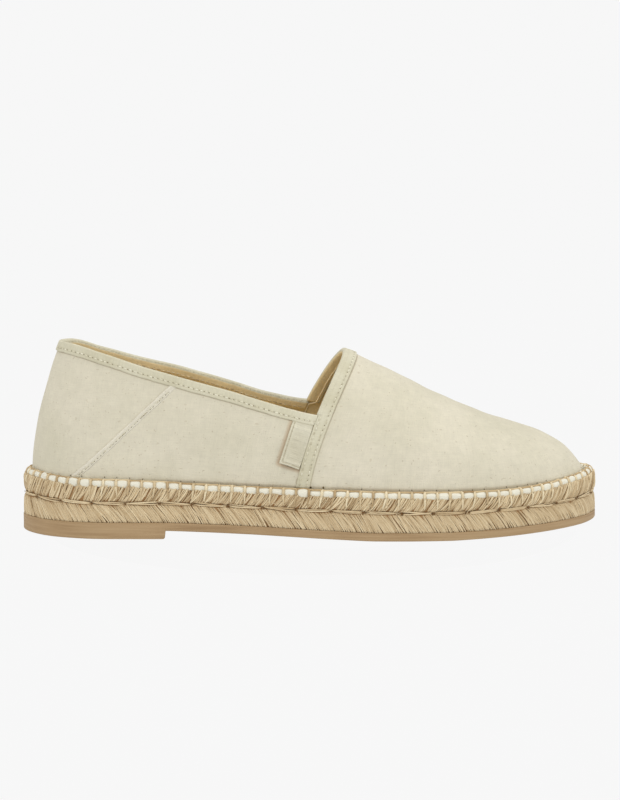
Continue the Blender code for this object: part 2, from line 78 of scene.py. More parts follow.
# The sole's outline: station from the heel as a share of the length, and distance from the
# middle line as a share of the width there, outer side first and then back along the inner side
OUTLINE = (
    (0.000, 0.000), (0.035, -0.290), (0.105, -0.455), (0.190, -0.500), (0.300, -0.509),
    (0.400, -0.489), (0.500, -0.474), (0.600, -0.488), (0.680, -0.500), (0.770, -0.475),
    (0.860, -0.391), (0.930, -0.267), (0.980, -0.114), (1.000, 0.050), (0.975, 0.208),
    (0.925, 0.337), (0.850, 0.436), (0.770, 0.488), (0.710, 0.500), (0.620, 0.480), (0.520, 0.433),
    (0.420, 0.427), (0.320, 0.459), (0.200, 0.493), (0.110, 0.465), (0.035, 0.296),
)
# The width grows from the heel's to the ball's between these stations
WIDENING = (0.25, 0.60)

# The sole in side view: station, share of HEEL_LIFT, share of TOE_SPRING, share of JUTE_HEIGHT
SOLE_LINE = (
    (0.000, 1.00, 0.00, 1.13),
    (0.030, 1.00, 0.00, 1.10),
    (0.070, 1.00, 0.00, 1.04),
    (0.130, 1.00, 0.00, 1.01),
    (0.245, 1.00, 0.00, 0.99),
    (0.390, 0.62, 0.00, 0.99),
    (0.500, 0.25, 0.00, 1.01),
    (0.590, 0.00, 0.00, 1.04),
    (0.730, 0.00, 0.00, 1.00),
    (0.810, 0.00, 0.28, 0.97),
    (0.900, 0.00, 0.62, 0.96),
    (0.960, 0.00, 0.85, 1.00),
    (1.000, 0.00, 1.00, 1.10),
)

# Where the top of the foot runs, over the jute: station, share of INSTEP_HEIGHT.
# Behind the throat the line is only a guide for the quarters below it.
CREST = (
    (0.100, 1.52), (0.250, 1.46), (0.400, 1.22), (0.480, 1.08), (0.558, 0.992), (0.638, 0.843),
    (0.707, 0.698), (0.776, 0.566), (0.833, 0.474), (0.862, 0.436), (0.900, 0.380),
)

# The top of the collar's tape, over the jute: station, share of BACK_HEIGHT, and how much
# of it the outer side stands higher and the inner side lower
COLLAR = (
    (0.050, 1.014, 0.000),
    (0.085, 1.011, 0.000),
    (0.140, 0.947, 0.011),
    (0.210, 0.859, 0.007),
    (0.290, 0.777, 0.001),
    (0.360, 0.703, 0.005),
    (0.430, 0.621, 0.008),
    (0.480, 0.577, 0.005),
    (0.540, 0.550, 0.000),
)

# The ribs of the last, from the heel's back round one side to the toe. way: share of the
# side's length; crest: station where the rib meets the crest; wall: height of its lower
# handle as a share of its rise; bulge: that handle's reach outwards, as a share of
# BALL_WIDTH; crown: reach of the upper handle, as a share of the way out; lean: how far
# the rib follows its height forwards, instead of fanning out
RIBS = (
    (0.000, 0.158, 0.304, 0.008, 0.480, 0.00),
    (0.070, 0.163, 0.310, 0.008, 0.520, 0.05),
    (0.140, 0.185, 0.320, 0.008, 0.660, 0.35),
    (0.240, 0.260, 0.330, 0.008, 0.770, 0.90),
    (0.340, 0.385, 0.380, 0.012, 0.780, 1.00),
    (0.457, 0.558, 0.500, 0.022, 0.720, 1.00),
    (0.560, 0.635, 0.500, 0.018, 0.700, 1.00),
    (0.680, 0.715, 0.500, 0.012, 0.680, 0.80),
    (0.790, 0.772, 0.500, 0.005, 0.660, 0.40),
    (0.890, 0.815, 0.540, -0.020, 0.560, 0.10),
    (1.000, 0.848, 0.615, -0.086, 0.395, 0.00),
)
THROAT_WAY = 0.457
LEAN_LOW = 0.19

# The heel panel's seam in side view: station, share of BACK_HEIGHT over the jute
SEAM = ((0.0875, 0.060), (0.2486, 0.700))

OUTER, INNER = -1, 1


def smooth(keys, values, at):
    """A smooth curve through rows of values, read at the given keys."""
    keys, values, at = (np.asarray(a, float) for a in (keys, values, at))
    flat = values.ndim == 1
    values = values.reshape(len(keys), -1)
    steps = np.diff(keys)[:, None]
    slopes = np.diff(values, axis=0) / steps
    tangents = np.empty_like(values)
    tangents[0], tangents[-1] = slopes[0], slopes[-1]
    tangents[1:-1] = (slopes[:-1] * steps[1:] + slopes[1:] * steps[:-1]) / (steps[:-1] + steps[1:])
    i = np.clip(np.searchsorted(keys, at.ravel(), side="right") - 1, 0, len(keys) - 2)
    h = steps[i]
    t = (at.reshape(-1, 1) - keys[i][:, None]) / h
    found = (
        values[i] * (2 * t**3 - 3 * t**2 + 1)
        + tangents[i] * h * (t**3 - 2 * t**2 + t)
        + values[i + 1] * (3 * t**2 - 2 * t**3)
        + tangents[i + 1] * h * (t**3 - t**2)
    )
    return found.reshape(at.shape if flat else at.shape + (-1,))


def column(table, index):
    return np.array([row[index] for row in table])


def line_lengths(line):
    """How far each point of a plan line lies along it."""
    return np.concatenate([[0], np.cumsum(np.hypot(*np.diff(line, axis=0).T))])


def read_plan(at, key, line):
    """A plan line's points, or its directions, at values between those of its key."""
    return np.stack([np.interp(at, key, line[:, k]) for k in (0, 1)], -1)


def station_column(table, index, x):
    """A column of a table of stations, read between its rows at x."""
    return np.interp(station(x), column(table, 0), column(table, index))


def trace_outline():
    """The sole's outline as two dense lines from heel to toe, outer side and inner side."""
    grown = np.clip((column(OUTLINE, 0) - WIDENING[0]) / (WIDENING[1] - WIDENING[0]), 0, 1)
    width = HEEL_WIDTH + (BALL_WIDTH - HEEL_WIDTH) * grown**2 * (3 - 2 * grown)
    points = np.stack([column(OUTLINE, 0) * SOLE_LENGTH, column(OUTLINE, 1) * width], 1)
    ring = np.vstack([points[-3:], points, points[:4]])
    key = line_lengths(ring)
    dense = smooth(key, ring, np.linspace(key[3], key[3 + len(points)], 2401))[:-1]
    dense -= (dense.min(0) + dense.max(0)) / 2
    dense = np.roll(dense, -dense[:, 0].argmin(), axis=0)
    toe = dense[:, 0].argmax()
    return {OUTER: dense[: toe + 1], INNER: np.vstack([dense[toe:], dense[:1]])[::-1]}


SIDES = trace_outline()
HEEL_X = SIDES[OUTER][0, 0]


def side_line(side, way, inset=0.0):
    """Plan points at shares of the way from heel to toe along one side, moved in by inset."""
    line = SIDES[side]
    length = line_lengths(line)
    run = np.gradient(line, axis=0)
    run[0], run[-1] = (0, side), (0, -side)
    run /= np.hypot(*run.T)[:, None]
    inward = np.stack([run[:, 1], -run[:, 0]], 1) * side
    share = length / length[-1]
    way = np.asarray(way, float)
    inset = np.asarray(inset, float)
    edge, in_way = (read_plan(way, share, part) for part in (line, inward))
    return edge + inset[..., None] * in_way


def side_length(side):
    return np.hypot(*np.diff(SIDES[side], axis=0).T).sum()


def way_at(side, x):
    """The share of the way along one side where it passes x."""
    line = SIDES[side]
    length = line_lengths(line)
    return np.interp(x, line[:, 0], length / length[-1])


def station(x):
    return (np.asarray(x) - HEEL_X) / SOLE_LENGTH


def underside(x):
    """Height of the outsole sheet's lower face, heel block left out."""
    lift, spring = (station_column(SOLE_LINE, k, x) for k in (1, 2))
    return lift * HEEL_LIFT + spring * TOE_SPRING


def jute_foot(x):
    return underside(x) + OUTSOLE_THICKNESS + GAP


def jute_top(x):
    return jute_foot(x) + station_column(SOLE_LINE, 3, x) * JUTE_HEIGHT


def jute_height(x, share):
    """Height at a share of the way up the jute's side."""
    return jute_foot(x) + share * (jute_top(x) - jute_foot(x))


def crest_height(x):
    share = smooth(column(CREST, 0), column(CREST, 1), station(x))
    return jute_top(x) + share * INSTEP_HEIGHT


def collar_height(side, x):
    """Height of the canvas's edge, under the tape's fold."""
    share, tilt = (smooth(column(COLLAR, 0), column(COLLAR, k), station(x)) for k in (1, 2))
    share -= side * np.maximum(tilt, 0)
    return jute_top(x) + share * BACK_HEIGHT - TAPE_THICKNESS - GAP


def middle_line(x):
    """Distance of the foot's middle line from the shoe's axis, midway between the two sides."""
    outer, inner = (side_line(s, way_at(s, x))[..., 1] for s in (OUTER, INNER))
    return (outer + inner) / 2 * np.clip(station(x) / 0.3, 0, 1)


def rib(side, way):
    """The four handles of the last's ribs at the given ways, each a row of x, y, z."""
    way = np.asarray(way, float)
    crest_x, wall, bulge, crown, lean = (
        smooth(column(RIBS, 0), column(RIBS, k), way) for k in range(1, 6)
    )
    foot = side_line(side, way, UPPER_INSET)
    out = foot - side_line(side, way, UPPER_INSET + 0.001)
    out /= np.hypot(out[..., 0], out[..., 1])[..., None]
    top_x = HEEL_X + crest_x * SOLE_LENGTH
    top = np.stack([top_x, middle_line(top_x)], -1)
    foot_z = jute_top(foot[..., 0]) + GAP
    top_z = crest_height(top_x)
    slope = (crest_height(top_x + 0.001) - crest_height(top_x - 0.001)) / 0.002
    low = foot + out * (bulge * BALL_WIDTH)[..., None]
    low[..., 0] += LEAN_LOW * lean * (top[..., 0] - foot[..., 0])
    high = top + (foot - top) * crown[..., None]
    high[..., 0] = top[..., 0] + (foot[..., 0] - top[..., 0]) * crown * (1 - lean)
    low_z = foot_z + wall * (top_z - foot_z)
    high_z = top_z + slope * (high[..., 0] - top[..., 0])
    plan = np.stack([foot, low, high, top], -2)
    height = np.stack([foot_z, low_z, high_z, top_z], -1)
    return np.concatenate([plan, height[..., None]], -1)


def last_point(side, way, rise):
    """Points of the last's surface; rise runs from 0 at the jute to 1 at the crest."""
    handles = rib(side, way)
    t = np.asarray(rise, float)[..., None]
    parts = ((1 - t) ** 3, 3 * (1 - t) ** 2 * t, 3 * (1 - t) * t**2, t**3)
    return sum(handles[..., k, :] * part for k, part in enumerate(parts))


def unit(vectors):
    return vectors / np.maximum(np.linalg.norm(vectors, axis=-1), 1e-12)[..., None]


def last_frame(side, way, rise):
    """The surface's outward normal and its direction upwards along the rib."""
    way, rise = np.asarray(way, float), np.asarray(rise, float)
    step = 0.002
    low, high = np.clip(way - step, 0, 1), np.clip(way + step, 0, 1)
    along = last_point(side, high, rise) - last_point(side, low, rise)
    down, up = np.clip(rise - step, 0, 1), np.clip(rise + step, 0, 1)
    upward = unit(last_point(side, way, up) - last_point(side, way, down))
    return unit(np.cross(along, upward)) * -side, upward


def rise_at(side, way, drop=0.0):
    """The rise at which each rib passes the collar's edge, or a height that far below it."""
    rises = np.linspace(0, 0.9, 181)
    found = []
    for one in np.atleast_1d(way):
        points = last_point(side, np.full_like(rises, one), rises)
        over = points[:, 2] - collar_height(side, points[:, 0]) + drop
        k = int(np.argmax(over > 0))
        found.append(rises[k - 1] - over[k - 1] * (rises[k] - rises[k - 1]) / (over[k] - over[k - 1]))
    return np.array(found)


def place_on_side(side, x, z):
    """The way and rise of the point of the last that is seen at x and z from the side."""
    x, z = np.asarray(x, float), np.asarray(z, float)
    way, rise = way_at(side, x), np.full(x.shape, 0.2)
    step = 0.001
    for _ in range(12):
        here = last_point(side, way, rise)
        by_way = (last_point(side, way + step, rise) - here) / step
        by_rise = (last_point(side, way, rise + step) - here) / step
        miss_x, miss_z = x - here[..., 0], z - here[..., 2]
        area = by_way[..., 0] * by_rise[..., 2] - by_rise[..., 0] * by_way[..., 2]
        way = np.clip(way + (miss_x * by_rise[..., 2] - by_rise[..., 0] * miss_z) / area, 0, 1)
        rise = np.clip(rise + (by_way[..., 0] * miss_z - by_way[..., 2] * miss_x) / area, 0, 1)
    return way, rise


# Pitches and sizes of what only the scene shows, in metres
STITCH_PITCH = 0.00635
THREAD_WIDTH = 0.00120
TAPE_STITCH = 0.0026
SEAM_STITCH = 0.0021
CANVAS_SKIN = 0.0007
TAPE_RISE = 0.0009
TAB_SPREAD = 0.0011
CORD_RADIUS = 0.0017
CORD_SINK = 0.0016
# How far round the trims and the side tab the canvas's painted shadow reaches
SHADE_REACH = 0.006
# Where a tape's and the seam's rows of stitches run, across from the edge
COLLAR_ROW = 0.0029
THROAT_ROWS = (0.0014, 0.0049)
SEAM_ROW = 0.00105
# How high the seam's threads lie, how deep the tape's stitches press, and the tapes' fineness
SEAM_LIFT = 0.00026
TAPE_DIP = 0.00026
TAPE_STEP = 0.0008
# The run in which a stitching thread twists once round
THREAD_TWIST = 0.0026
# The height of the groove between the two rows of the plait, as a share of the jute's
GROOVE = 0.56
# Threads of the canvas in the length of a metre, across and along
THREAD_FINE, THREAD_LONG = 1900.0, 110.0

# A thread over each stitch, outside and inside the collar: shift in stitches, share of its lift
STITCH_ARCH = ((-0.25, 0.6), (-0.15, 0.96), (0.0, 1.06), (0.15, 0.96), (0.25, 0.6))
INSIDE_ARCH = ((-0.33, 0.5), (-0.2, -0.1), (0.0, -0.25), (0.2, -0.1), (0.33, 0.5))

# The collar tape in section: drop below the canvas's edge, and share of TAPE_RISE outwards in
# the fold, inwards in the leg inside the shoe
COLLAR_FOLD = (
    (-0.00045, 0.95), (-0.00078, 0.55), (-0.00092, -0.2), (-0.00080, -1.2), (-0.00040, -2.2),
    (0.0001, -2.8),
)
COLLAR_LEG = (
    (0.0002, 1.0), (0.0012, 1.0), (0.0026, 1.0), (0.0042, 0.95), (0.0044, 0.5), (0.0042, 0.0),
    (0.002, 0.0),
)

# The throat tape's fold in section: distance in front of the edge, share of TAPE_RISE outwards
THROAT_FOLD = (
    (0.0030, 0.70), (0.0010, 1.05), (0.0000, 1.06), (-0.00055, 0.85), (-0.00090, 0.35),
    (-0.00100, -0.5), (-0.00100, -1.4), (-0.00080, -2.3), (-0.0002, -2.8), (0.0020, -2.9),
    (0.0046, -2.9), (0.0051, -2.9), (0.0053, -2.4), (0.0048, -2.0), (0.0010, -1.95), (0.0002, 0.0),
    (0.0030, 0.1),
)
# Its points that face the inside of the shoe
THROAT_FOLD_INSIDE = (6, 7, 8, 9, 10, 13, 14, 15)

# The heel panel's folded edge in section: distance across, share of its height
SEAM_SECTION = (
    (-0.00070, 0.02), (-0.00066, 0.34), (-0.00048, 0.56), (-0.0002, 0.64), (0.0001, 0.60),
    (0.0004, 0.40), (0.0006, 0.18), (0.0009, 0.13), (0.0013, 0.07), (0.0016, 0.01), (0.0010, -0.2),
    (-0.0005, -0.2),
)

# Where two large needle holes lie at the foot of the throat tape, at x
TAPE_FOOT_HOLES = (-0.0023, 0.0043)
# Where two puffs of the edge cord stand out, at x, and their size beside the others
CORD_PUFFS = ((-0.1224, 1.22), (-0.0063, 1.24))
# A blanket stitch's leg below the cord: drop under the jute's top, distance in from its edge
LEG_FEET = ((0.0014, 0.0001), (0.0026, -0.0001), (0.0039, -0.0001), (0.0052, 0.0003), (0.0062, 0.0018))
# The leg's thickness from its top to its foot, beside the thread's
LEG_TAPER = (1.25, 1.25, 1.2, 1.15, 1.1, 1.1, 1.05, 1.0, 0.9, 0.75, 0.65, 0.55, 0.45)
# The jute's core behind the yarns: share of the height, distance in from the edge
JUTE_CORE = ((0.0, 0.0010), (0.06, 0.0012), (0.5, 0.0014), (0.56, 0.0026), (0.62, 0.0016), (1.0, 0.0014))

# Threads and yarns: name, dark, middle and light colour, streaks across and along in a metre
FIBRES = (
    ("thread_pale", (186, 178, 150), (216, 211, 188), (230, 226, 207), 3000.0, 300.0),
    ("thread_gold", (176, 152, 112), (204, 184, 146), (222, 206, 172), 3000.0, 300.0),
    ("thread_hem", (236, 218, 178), (248, 234, 200), (252, 243, 220), 3000.0, 300.0),
    ("thread_tan", (168, 140, 100), (210, 190, 153), (230, 215, 182), 2000.0, 260.0),
    # The rail's thread is a darker copy of the legs' thread: painted shade along the cord's top
    ("thread_rail_shaded", (160, 130, 90), (194, 170, 130), (216, 196, 158), 2000.0, 260.0),
    ("cord_cotton", (172, 156, 124), (207, 200, 178), (227, 223, 206), 900.0, 120.0),
    ("jute_yarn", (138, 109, 71), (194, 170, 132), (230, 212, 176), 1700.0, 110.0),
)

# The floor's reach and rise, its own glow, and the share of it that takes light and shadow
FLOOR_REACH, FLOOR_RISE = 5.2, 2.6
FLOOR_GLOW, FLOOR_SHARE = 0.932, 0.008

# Lights: name, place, size and power; all aim at one point
LIGHTS = (
    ("key", (-0.5, -1.3, 1.7), 1.0, 11),
    ("side", (1.5, -0.9, 0.9), 0.9, 4),
    ("top", (0.1, 0.2, 1.8), 1.0, 11),
)
LIGHT_AIM = (0, 0, 0.04)

# The camera: aim, lift and turn in degrees, distance, and the lens for a picture of 800 lines
CAMERA_AIM = (-0.00075, 0.0, 0.064)
CAMERA_LIFT, CAMERA_TURN, CAMERA_FAR = 7.5, -3.5, 1.5
PICTURE_HIGH, FOCAL_PIXELS = 800, 2980.5

# Soft troughs and ridges of the canvas: side, station, share of BACK_HEIGHT over the jute,
# half length and half width as shares of BALL_WIDTH, slope in degrees, height as a share of UPPER_WALL
FOLDS = (
    (OUTER, 0.095, 0.60, 0.24, 0.070, 76, 0.35),
    (OUTER, 0.165, 0.26, 0.22, 0.070, 50, -0.45),
    (OUTER, 0.215, 0.14, 0.20, 0.060, 36, 0.40),
    (OUTER, 0.320, 0.42, 0.40, 0.130, -20, 1.35),
    (OUTER, 0.285, 0.20, 0.24, 0.050, 26, -0.70),
    (OUTER, 0.370, 0.16, 0.24, 0.055, 4, 0.35),
    (OUTER, 0.425, 0.50, 0.16, 0.060, -28, 0.55),
    (OUTER, 0.455, 0.20, 0.16, 0.050, 62, -0.35),
    (OUTER, 0.570, 0.16, 0.22, 0.060, 58, 0.22),
    (OUTER, 0.640, 0.26, 0.30, 0.080, 64, -0.12),
    (OUTER, 0.720, 0.24, 0.26, 0.080, 52, 0.10),
    (OUTER, 0.830, 0.18, 0.22, 0.060, 24, -0.12),
    (INNER, 0.110, 0.55, 0.24, 0.070, 80, 0.45),
    (INNER, 0.180, 0.34, 0.26, 0.065, 46, -0.55),
    (INNER, 0.290, 0.46, 0.30, 0.100, -16, 0.70),
    (INNER, 0.350, 0.24, 0.28, 0.070, 10, -0.60),
    (INNER, 0.430, 0.34, 0.20, 0.070, -34, 0.40),
    (INNER, 0.640, 0.28, 0.30, 0.080, 60, -0.22),
    (INNER, 0.780, 0.22, 0.24, 0.070, 36, 0.20),
)


def ring_line():
    """The sole's outline as one closed line, from the heel along the outer side and back."""
    line = np.vstack([SIDES[OUTER], SIDES[INNER][::-1][1:]])
    key = line_lengths(line)
    run = np.gradient(line, axis=0)
    run[0] = run[-1] = (0, -1)
    run /= np.hypot(*run.T)[:, None]
    return line, key, np.stack([-run[:, 1], run[:, 0]], 1)


RING, RING_KEY, RING_INWARD = ring_line()
RING_LENGTH = RING_KEY[-1]


def ring_plan(far, inset=0.0):
    """Plan points at distances round the sole from the heel, moved in by inset."""
    far = np.asarray(far, float) % RING_LENGTH
    edge, inward = (read_plan(far, RING_KEY, part) for part in (RING, RING_INWARD))
    return edge + unit(inward) * np.asarray(inset, float)[..., None]


def ring_point(far, inset, height):
    """Points round the sole; height is a function of x."""
    plan = ring_plan(far, inset)
    return np.concatenate([plan, height(plan[..., 0])[..., None]], -1)


def ring_out(far):
    """The level direction outwards from the sole at distances round it."""
    plan = unit(ring_plan(far) - ring_plan(far, 0.001))
    return np.concatenate([plan, np.zeros(plan.shape[:-1] + (1,))], -1)


def edge_lift(x):
    """How much higher the cord runs round the heel and the toe than along the sides."""
    return 0.0014 * ease(-x, 0.055, 0.100) + 0.0015 * ease(x, 0.095, 0.135)


def edge_tuck(far):
    """How much further in the cord lies round the heel and the toe."""
    return 0.0013 * ease(abs(ring_plan(far)[..., 0]), 0.112, 0.143)


STITCHES = round(RING_LENGTH / STITCH_PITCH)
STITCH_STEP = RING_LENGTH / STITCHES
LOBES = round(RING_LENGTH / PLAIT_PITCH)
LOBE_STEP = RING_LENGTH / LOBES


def shake(size, count):
    """Random numbers spread round zero."""
    return RANDOM.normal(0, size, count)


def ring_far(side, way):
    """Distance round the sole of a way along one side."""
    run = np.asarray(way) * side_length(side)
    return run if side == OUTER else RING_LENGTH - run


def ease(value, low, high):
    share = np.clip((value - low) / (high - low), 0, 1)
    return share * share * (3 - 2 * share)


def bell(value, middle, width):
    """A soft bump of height one round a middle."""
    return np.exp(-(((value - middle) / width) ** 2))


def relief(side, way, points):
    """How far the canvas stands off the smooth last: waves, folds and puckers over the cord."""
    x, y, z = points[..., 0], points[..., 1], points[..., 2]
    over = z - jute_top(x)
    height = UPPER_WALL * (
        0.09 * np.sin(x * 171 + z * 96 + 0.4) * np.sin(z * 143 - x * 38 + y * 20)
        + 0.06 * np.sin(x * 320 - z * 210 + y * 44)
    )
    clear = ease(abs(y - middle_line(x)), 0.012, 0.026)
    for fold_side, at, share, length, width, slope, high in FOLDS:
        if fold_side != side:
            continue
        run, up = x - HEEL_X - at * SOLE_LENGTH, over - share * BACK_HEIGHT
        turn = np.radians(slope)
        along = (run * np.cos(turn) + up * np.sin(turn)) / (length * BALL_WIDTH)
        across = (up * np.cos(turn) - run * np.sin(turn)) / (width * BALL_WIDTH)
        across = across + 0.35 * along**2
        height = height + clear * high * UPPER_WALL * 0.55 * np.exp(-(along**2) - across**2)
    low = over / CORD_DIAMETER
    pull = 0.5 + 0.5 * np.cos(2 * np.pi * ring_far(side, way) / STITCH_STEP)
    height = height + UPPER_WALL * bell(low, 1.15, 0.5) * (0.18 - 0.16 * pull)
    return height - UPPER_WALL * 0.15 * bell(low, 0.45, 0.3)


def skin_frame(side, way, rise):
    """The last's normal and upward direction, the same from both sides where they meet."""
    way, rise = np.broadcast_arrays(np.asarray(way, float), np.asarray(rise, float))
    normal, upward = last_frame(side, way, rise)
    other = last_frame(-side, way, rise)[0]
    meets = (way <= 1e-9) | (way >= 1 - 1e-9) | (rise >= 1 - 1e-9)
    return np.where(meets[..., None], unit(normal + other), normal), upward


def canvas_point(side, way, rise, out=0.0, up=0.0):
    """A point out of the canvas's face, folds and all."""
    way, rise = np.broadcast_arrays(np.asarray(way, float), np.asarray(rise, float))
    normal, upward = skin_frame(side, way, rise)
    base = last_point(side, way, rise)
    out = np.asarray(out, float) + relief(side, way, base)
    return base + normal * out[..., None] + upward * np.asarray(up, float)[..., None]


class Finish:
    """A material, with short ways to add nodes to it."""

    def __init__(self, name, roughness, **fixed):
        self.material = bpy.data.materials.new(name)
        self.material.use_nodes = True
        self.tree = self.material.node_tree
        self.shader = self.tree.nodes["Principled BSDF"]
        self.shader.inputs["Roughness"].default_value = roughness
        for key, value in fixed.items():
            self.shader.inputs[key.replace("_", " ")].default_value = value

    def node(self, kind, settings=(), **inputs):
        made = self.tree.nodes.new("ShaderNode" + kind)
        for key, value in dict(settings).items():
            setattr(made, key, value)
        for key, value in inputs.items():
            self.feed(made.inputs[int(key[1:]) if key[0] == "_" else key], value)
        return made

    def feed(self, socket, value):
        if isinstance(value, bpy.types.NodeSocket):
            self.tree.links.new(value, socket)
        else:
            socket.default_value = value

    def place(self):
        return self.node("TexCoord").outputs["Object"]

    def attribute(self, name, output="Vector"):
        return self.node("Attribute", {"attribute_name": name}).outputs[output]

    def stretch(self, vector, scale):
        return self.node("Mapping", Vector=vector, Scale=scale).outputs[0]

    def noise(self, vector, scale, detail=2.0, rough=0.5):
        if not isinstance(scale, (int, float)):
            vector, scale = self.stretch(vector, scale), 1.0
        return self.node("TexNoise", Vector=vector, Scale=scale, Detail=detail, Roughness=rough).outputs[0]

    def spread(self, value, low, high, start=0.0, end=1.0):
        inputs = {"_0": value, "_1": low, "_2": high, "_3": start, "_4": end}
        return self.node("MapRange", **inputs).outputs[0]

    def math(self, operation, first, second):
        return self.node("Math", {"operation": operation}, _0=first, _1=second).outputs[0]

    def blend(self, first, share, second, other):
        """Two values added up in the given shares."""
        return self.math("ADD", self.math("MULTIPLY", first, share), self.math("MULTIPLY", second, other))

    def mix(self, share, first, second, blend="MIX"):
        settings = {"data_type": "RGBA", "blend_type": blend}
        return self.node("Mix", settings, _0=share, _6=first, _7=second).outputs[2]

    def dim(self, base, share):
        """A colour made darker or lighter by a share."""
        grey = self.node("CombineColor", _0=share, _1=share, _2=share).outputs[0]
        return self.mix(1.0, base, grey, "MULTIPLY")

    def ramp(self, value, *stops):
        made = self.node("ValToRGB", _0=value)
        marks = made.color_ramp.elements
        while len(marks) < len(stops):
            marks.new(0.5)
        for mark, (at, colour) in zip(marks, stops):
            mark.position, mark.color = at, tint(*colour)
        return made.outputs[0]

    def colour(self, value):
        self.feed(self.shader.inputs["Base Color"], value)

    def bump(self, height, distance, strength):
        made = self.node("Bump", Height=height, Distance=distance, Strength=strength)
        self.feed(self.shader.inputs["Normal"], made.outputs[0])


def tint(red, green, blue):
    """A screen colour, 0 to 255, as the linear colour that the materials mix with."""
    parts = np.array([red, green, blue]) / 255
    linear = np.where(parts <= 0.04045, parts / 12.92, ((parts + 0.055) / 1.055) ** 2.4)
    return (*map(float, linear), 1.0)


def canvas_finish(name, low, high):
    """Plain weave with flecks and knots, with painted shadow below the collar tape, beside the throat tape's
    edges, above the cord and beside the side tab.
    """
    made = Finish(name, 0.93, Sheen_Weight=0.06, Sheen_Roughness=0.5, Specular_IOR_Level=0.2)
    weave, place = made.attribute("weave"), made.place()
    base = made.ramp(made.noise(place, 26.0, 3.0, 0.55), (0.30, low), (0.70, high))
    weft = made.noise(weave, (THREAD_LONG, THREAD_FINE, 1.0), 2.0, 0.6)
    warp = made.noise(weave, (THREAD_FINE, THREAD_LONG, 1.0), 2.0, 0.6)
    threads = made.math("ADD", weft, warp)
    mottle = made.spread(made.noise(place, 260.0, 4.0, 0.75), 0.3, 0.7, -0.045, 0.045)
    base = made.dim(base, made.math("ADD", made.spread(threads, 0.75, 1.25, 0.962, 1.038), mottle))
    fleck = made.spread(made.noise(place, 1150.0, 0.0), 0.78, 0.82, 0.0, 0.40)
    base = made.mix(fleck, base, tint(150, 128, 92))
    knot = made.noise(made.stretch(place, (1.0, 1.0, 2.2)), 430.0, 0.0)
    base = made.mix(made.spread(knot, 0.79, 0.84, 0.0, 0.30), base, tint(168, 150, 118))
    # Painted shadow: darker brown bands just below the collar tape, beside the throat tape's edges and just
    # above the cord
    near = made.node("SeparateXYZ", Vector=made.attribute("trim_shadow_nearness")).outputs
    for socket, start, strength in ((near[0], 0.88, 0.72), (near[1], 0.93, 0.35), (near[2], 0.84, 0.30)):
        base = made.mix(made.spread(socket, start, 1.0, 0.0, strength), base, tint(140, 116, 78))
    # Painted shadow in warm brown beside the side tab's back edge and ends
    shade = made.spread(made.attribute("tone_and_shade", "Fac"), 0.62, 1.0, 0.0, 0.62)
    made.colour(made.mix(shade, base, tint(178, 134, 86)))
    fine = made.noise(weave, (THREAD_FINE, THREAD_FINE, 1.0), 1.0)
    made.bump(made.math("ADD", threads, fine), 0.00016, 0.55)
    return made.material


def tape_finish(name, dark, light):
    """Ribbed cotton tape, with painted shade in the dips of its rows of stitches, in its grooves and along
    its edges.
    """
    made = Finish(name, 0.9, Sheen_Weight=0.10, Specular_IOR_Level=0.25)
    weave, place = made.attribute("weave"), made.place()
    base = made.ramp(made.noise(place, 70.0, 3.0), (0.32, dark), (0.68, light))
    ribs = made.noise(weave, (1500.0, 260.0, 1.0), 2.0, 0.6)
    # Painted shade, broken up by noise, where the piece's groove value asks for it
    rough = made.spread(made.noise(place, 1300.0, 1.0), 0.35, 0.65, 0.25, 1.0)
    painted_groove_shade = made.math("MULTIPLY", made.attribute("groove", "Fac"), rough)
    base = made.mix(painted_groove_shade, base, tint(150, 138, 104))
    made.colour(made.dim(base, made.spread(ribs, 0.3, 0.7, 0.93, 1.05)))
    made.bump(ribs, 0.0002, 0.6)
    return made.material


def lining_finish():
    made = Finish("lining", 0.95, Specular_IOR_Level=0.2)
    place = made.place()
    base = made.ramp(made.noise(place, 40.0, 4.0), (0.30, (218, 197, 151)), (0.72, (236, 217, 173)))
    threads = made.noise(place, (900.0, 900.0, 1600.0), 2.0, 0.6)
    made.colour(made.dim(base, made.spread(threads, 0.3, 0.7, 0.90, 1.06)))
    made.bump(threads, 0.0002, 0.6)
    return made.material


def fibre_finish(name, dark, middle, light, across, along):
    """Twisted or combed fibre: streaks along each yarn, a random lightness of its own for each, and painted
    shade where the yarns sink in and the cord is pinched.
    """
    made = Finish(name, 0.95, Specular_IOR_Level=0.2, Sheen_Weight=0.08)
    fibre, tone_and_shade = made.attribute("fibre"), made.attribute("tone_and_shade", "Fac")
    streak = made.noise(fibre, (along, across, 31.0), 3.0, 0.65)
    made.colour(made.ramp(made.blend(streak, 0.6, tone_and_shade, 0.7), (0.22, dark), (0.58, middle), (0.95, light)))
    made.bump(streak, 0.0002, 0.8)
    return made.material


def rubber_finish():
    made = Finish("outsole_rubber", 0.62, Specular_IOR_Level=0.35)
    weave, place = made.attribute("weave"), made.place()
    streak = made.noise(weave, (22.0, 620.0, 1.0), 4.0, 0.62)
    mixed = made.blend(streak, 0.75, made.noise(place, 22.0, 2.0), 0.25)
    made.colour(made.ramp(mixed, (0.30, (146, 117, 82)), (0.5, (168, 140, 103)), (0.72, (182, 156, 119))))
    made.bump(streak, 0.00022, 0.6)
    return made.material


def plain_finish(name, *colour):
    made = Finish(name, 0.9, Specular_IOR_Level=0.2)
    speck = made.noise(made.place(), 900.0, 2.0)
    made.colour(made.dim(tint(*colour), made.spread(speck, 0.3, 0.7, 0.85, 1.12)))
    made.bump(speck, 0.0001, 0.5)
    return made.material


def add_object(name, data):
    placed = bpy.data.objects.new(name, data)
    bpy.context.scene.collection.objects.link(placed)
    return placed


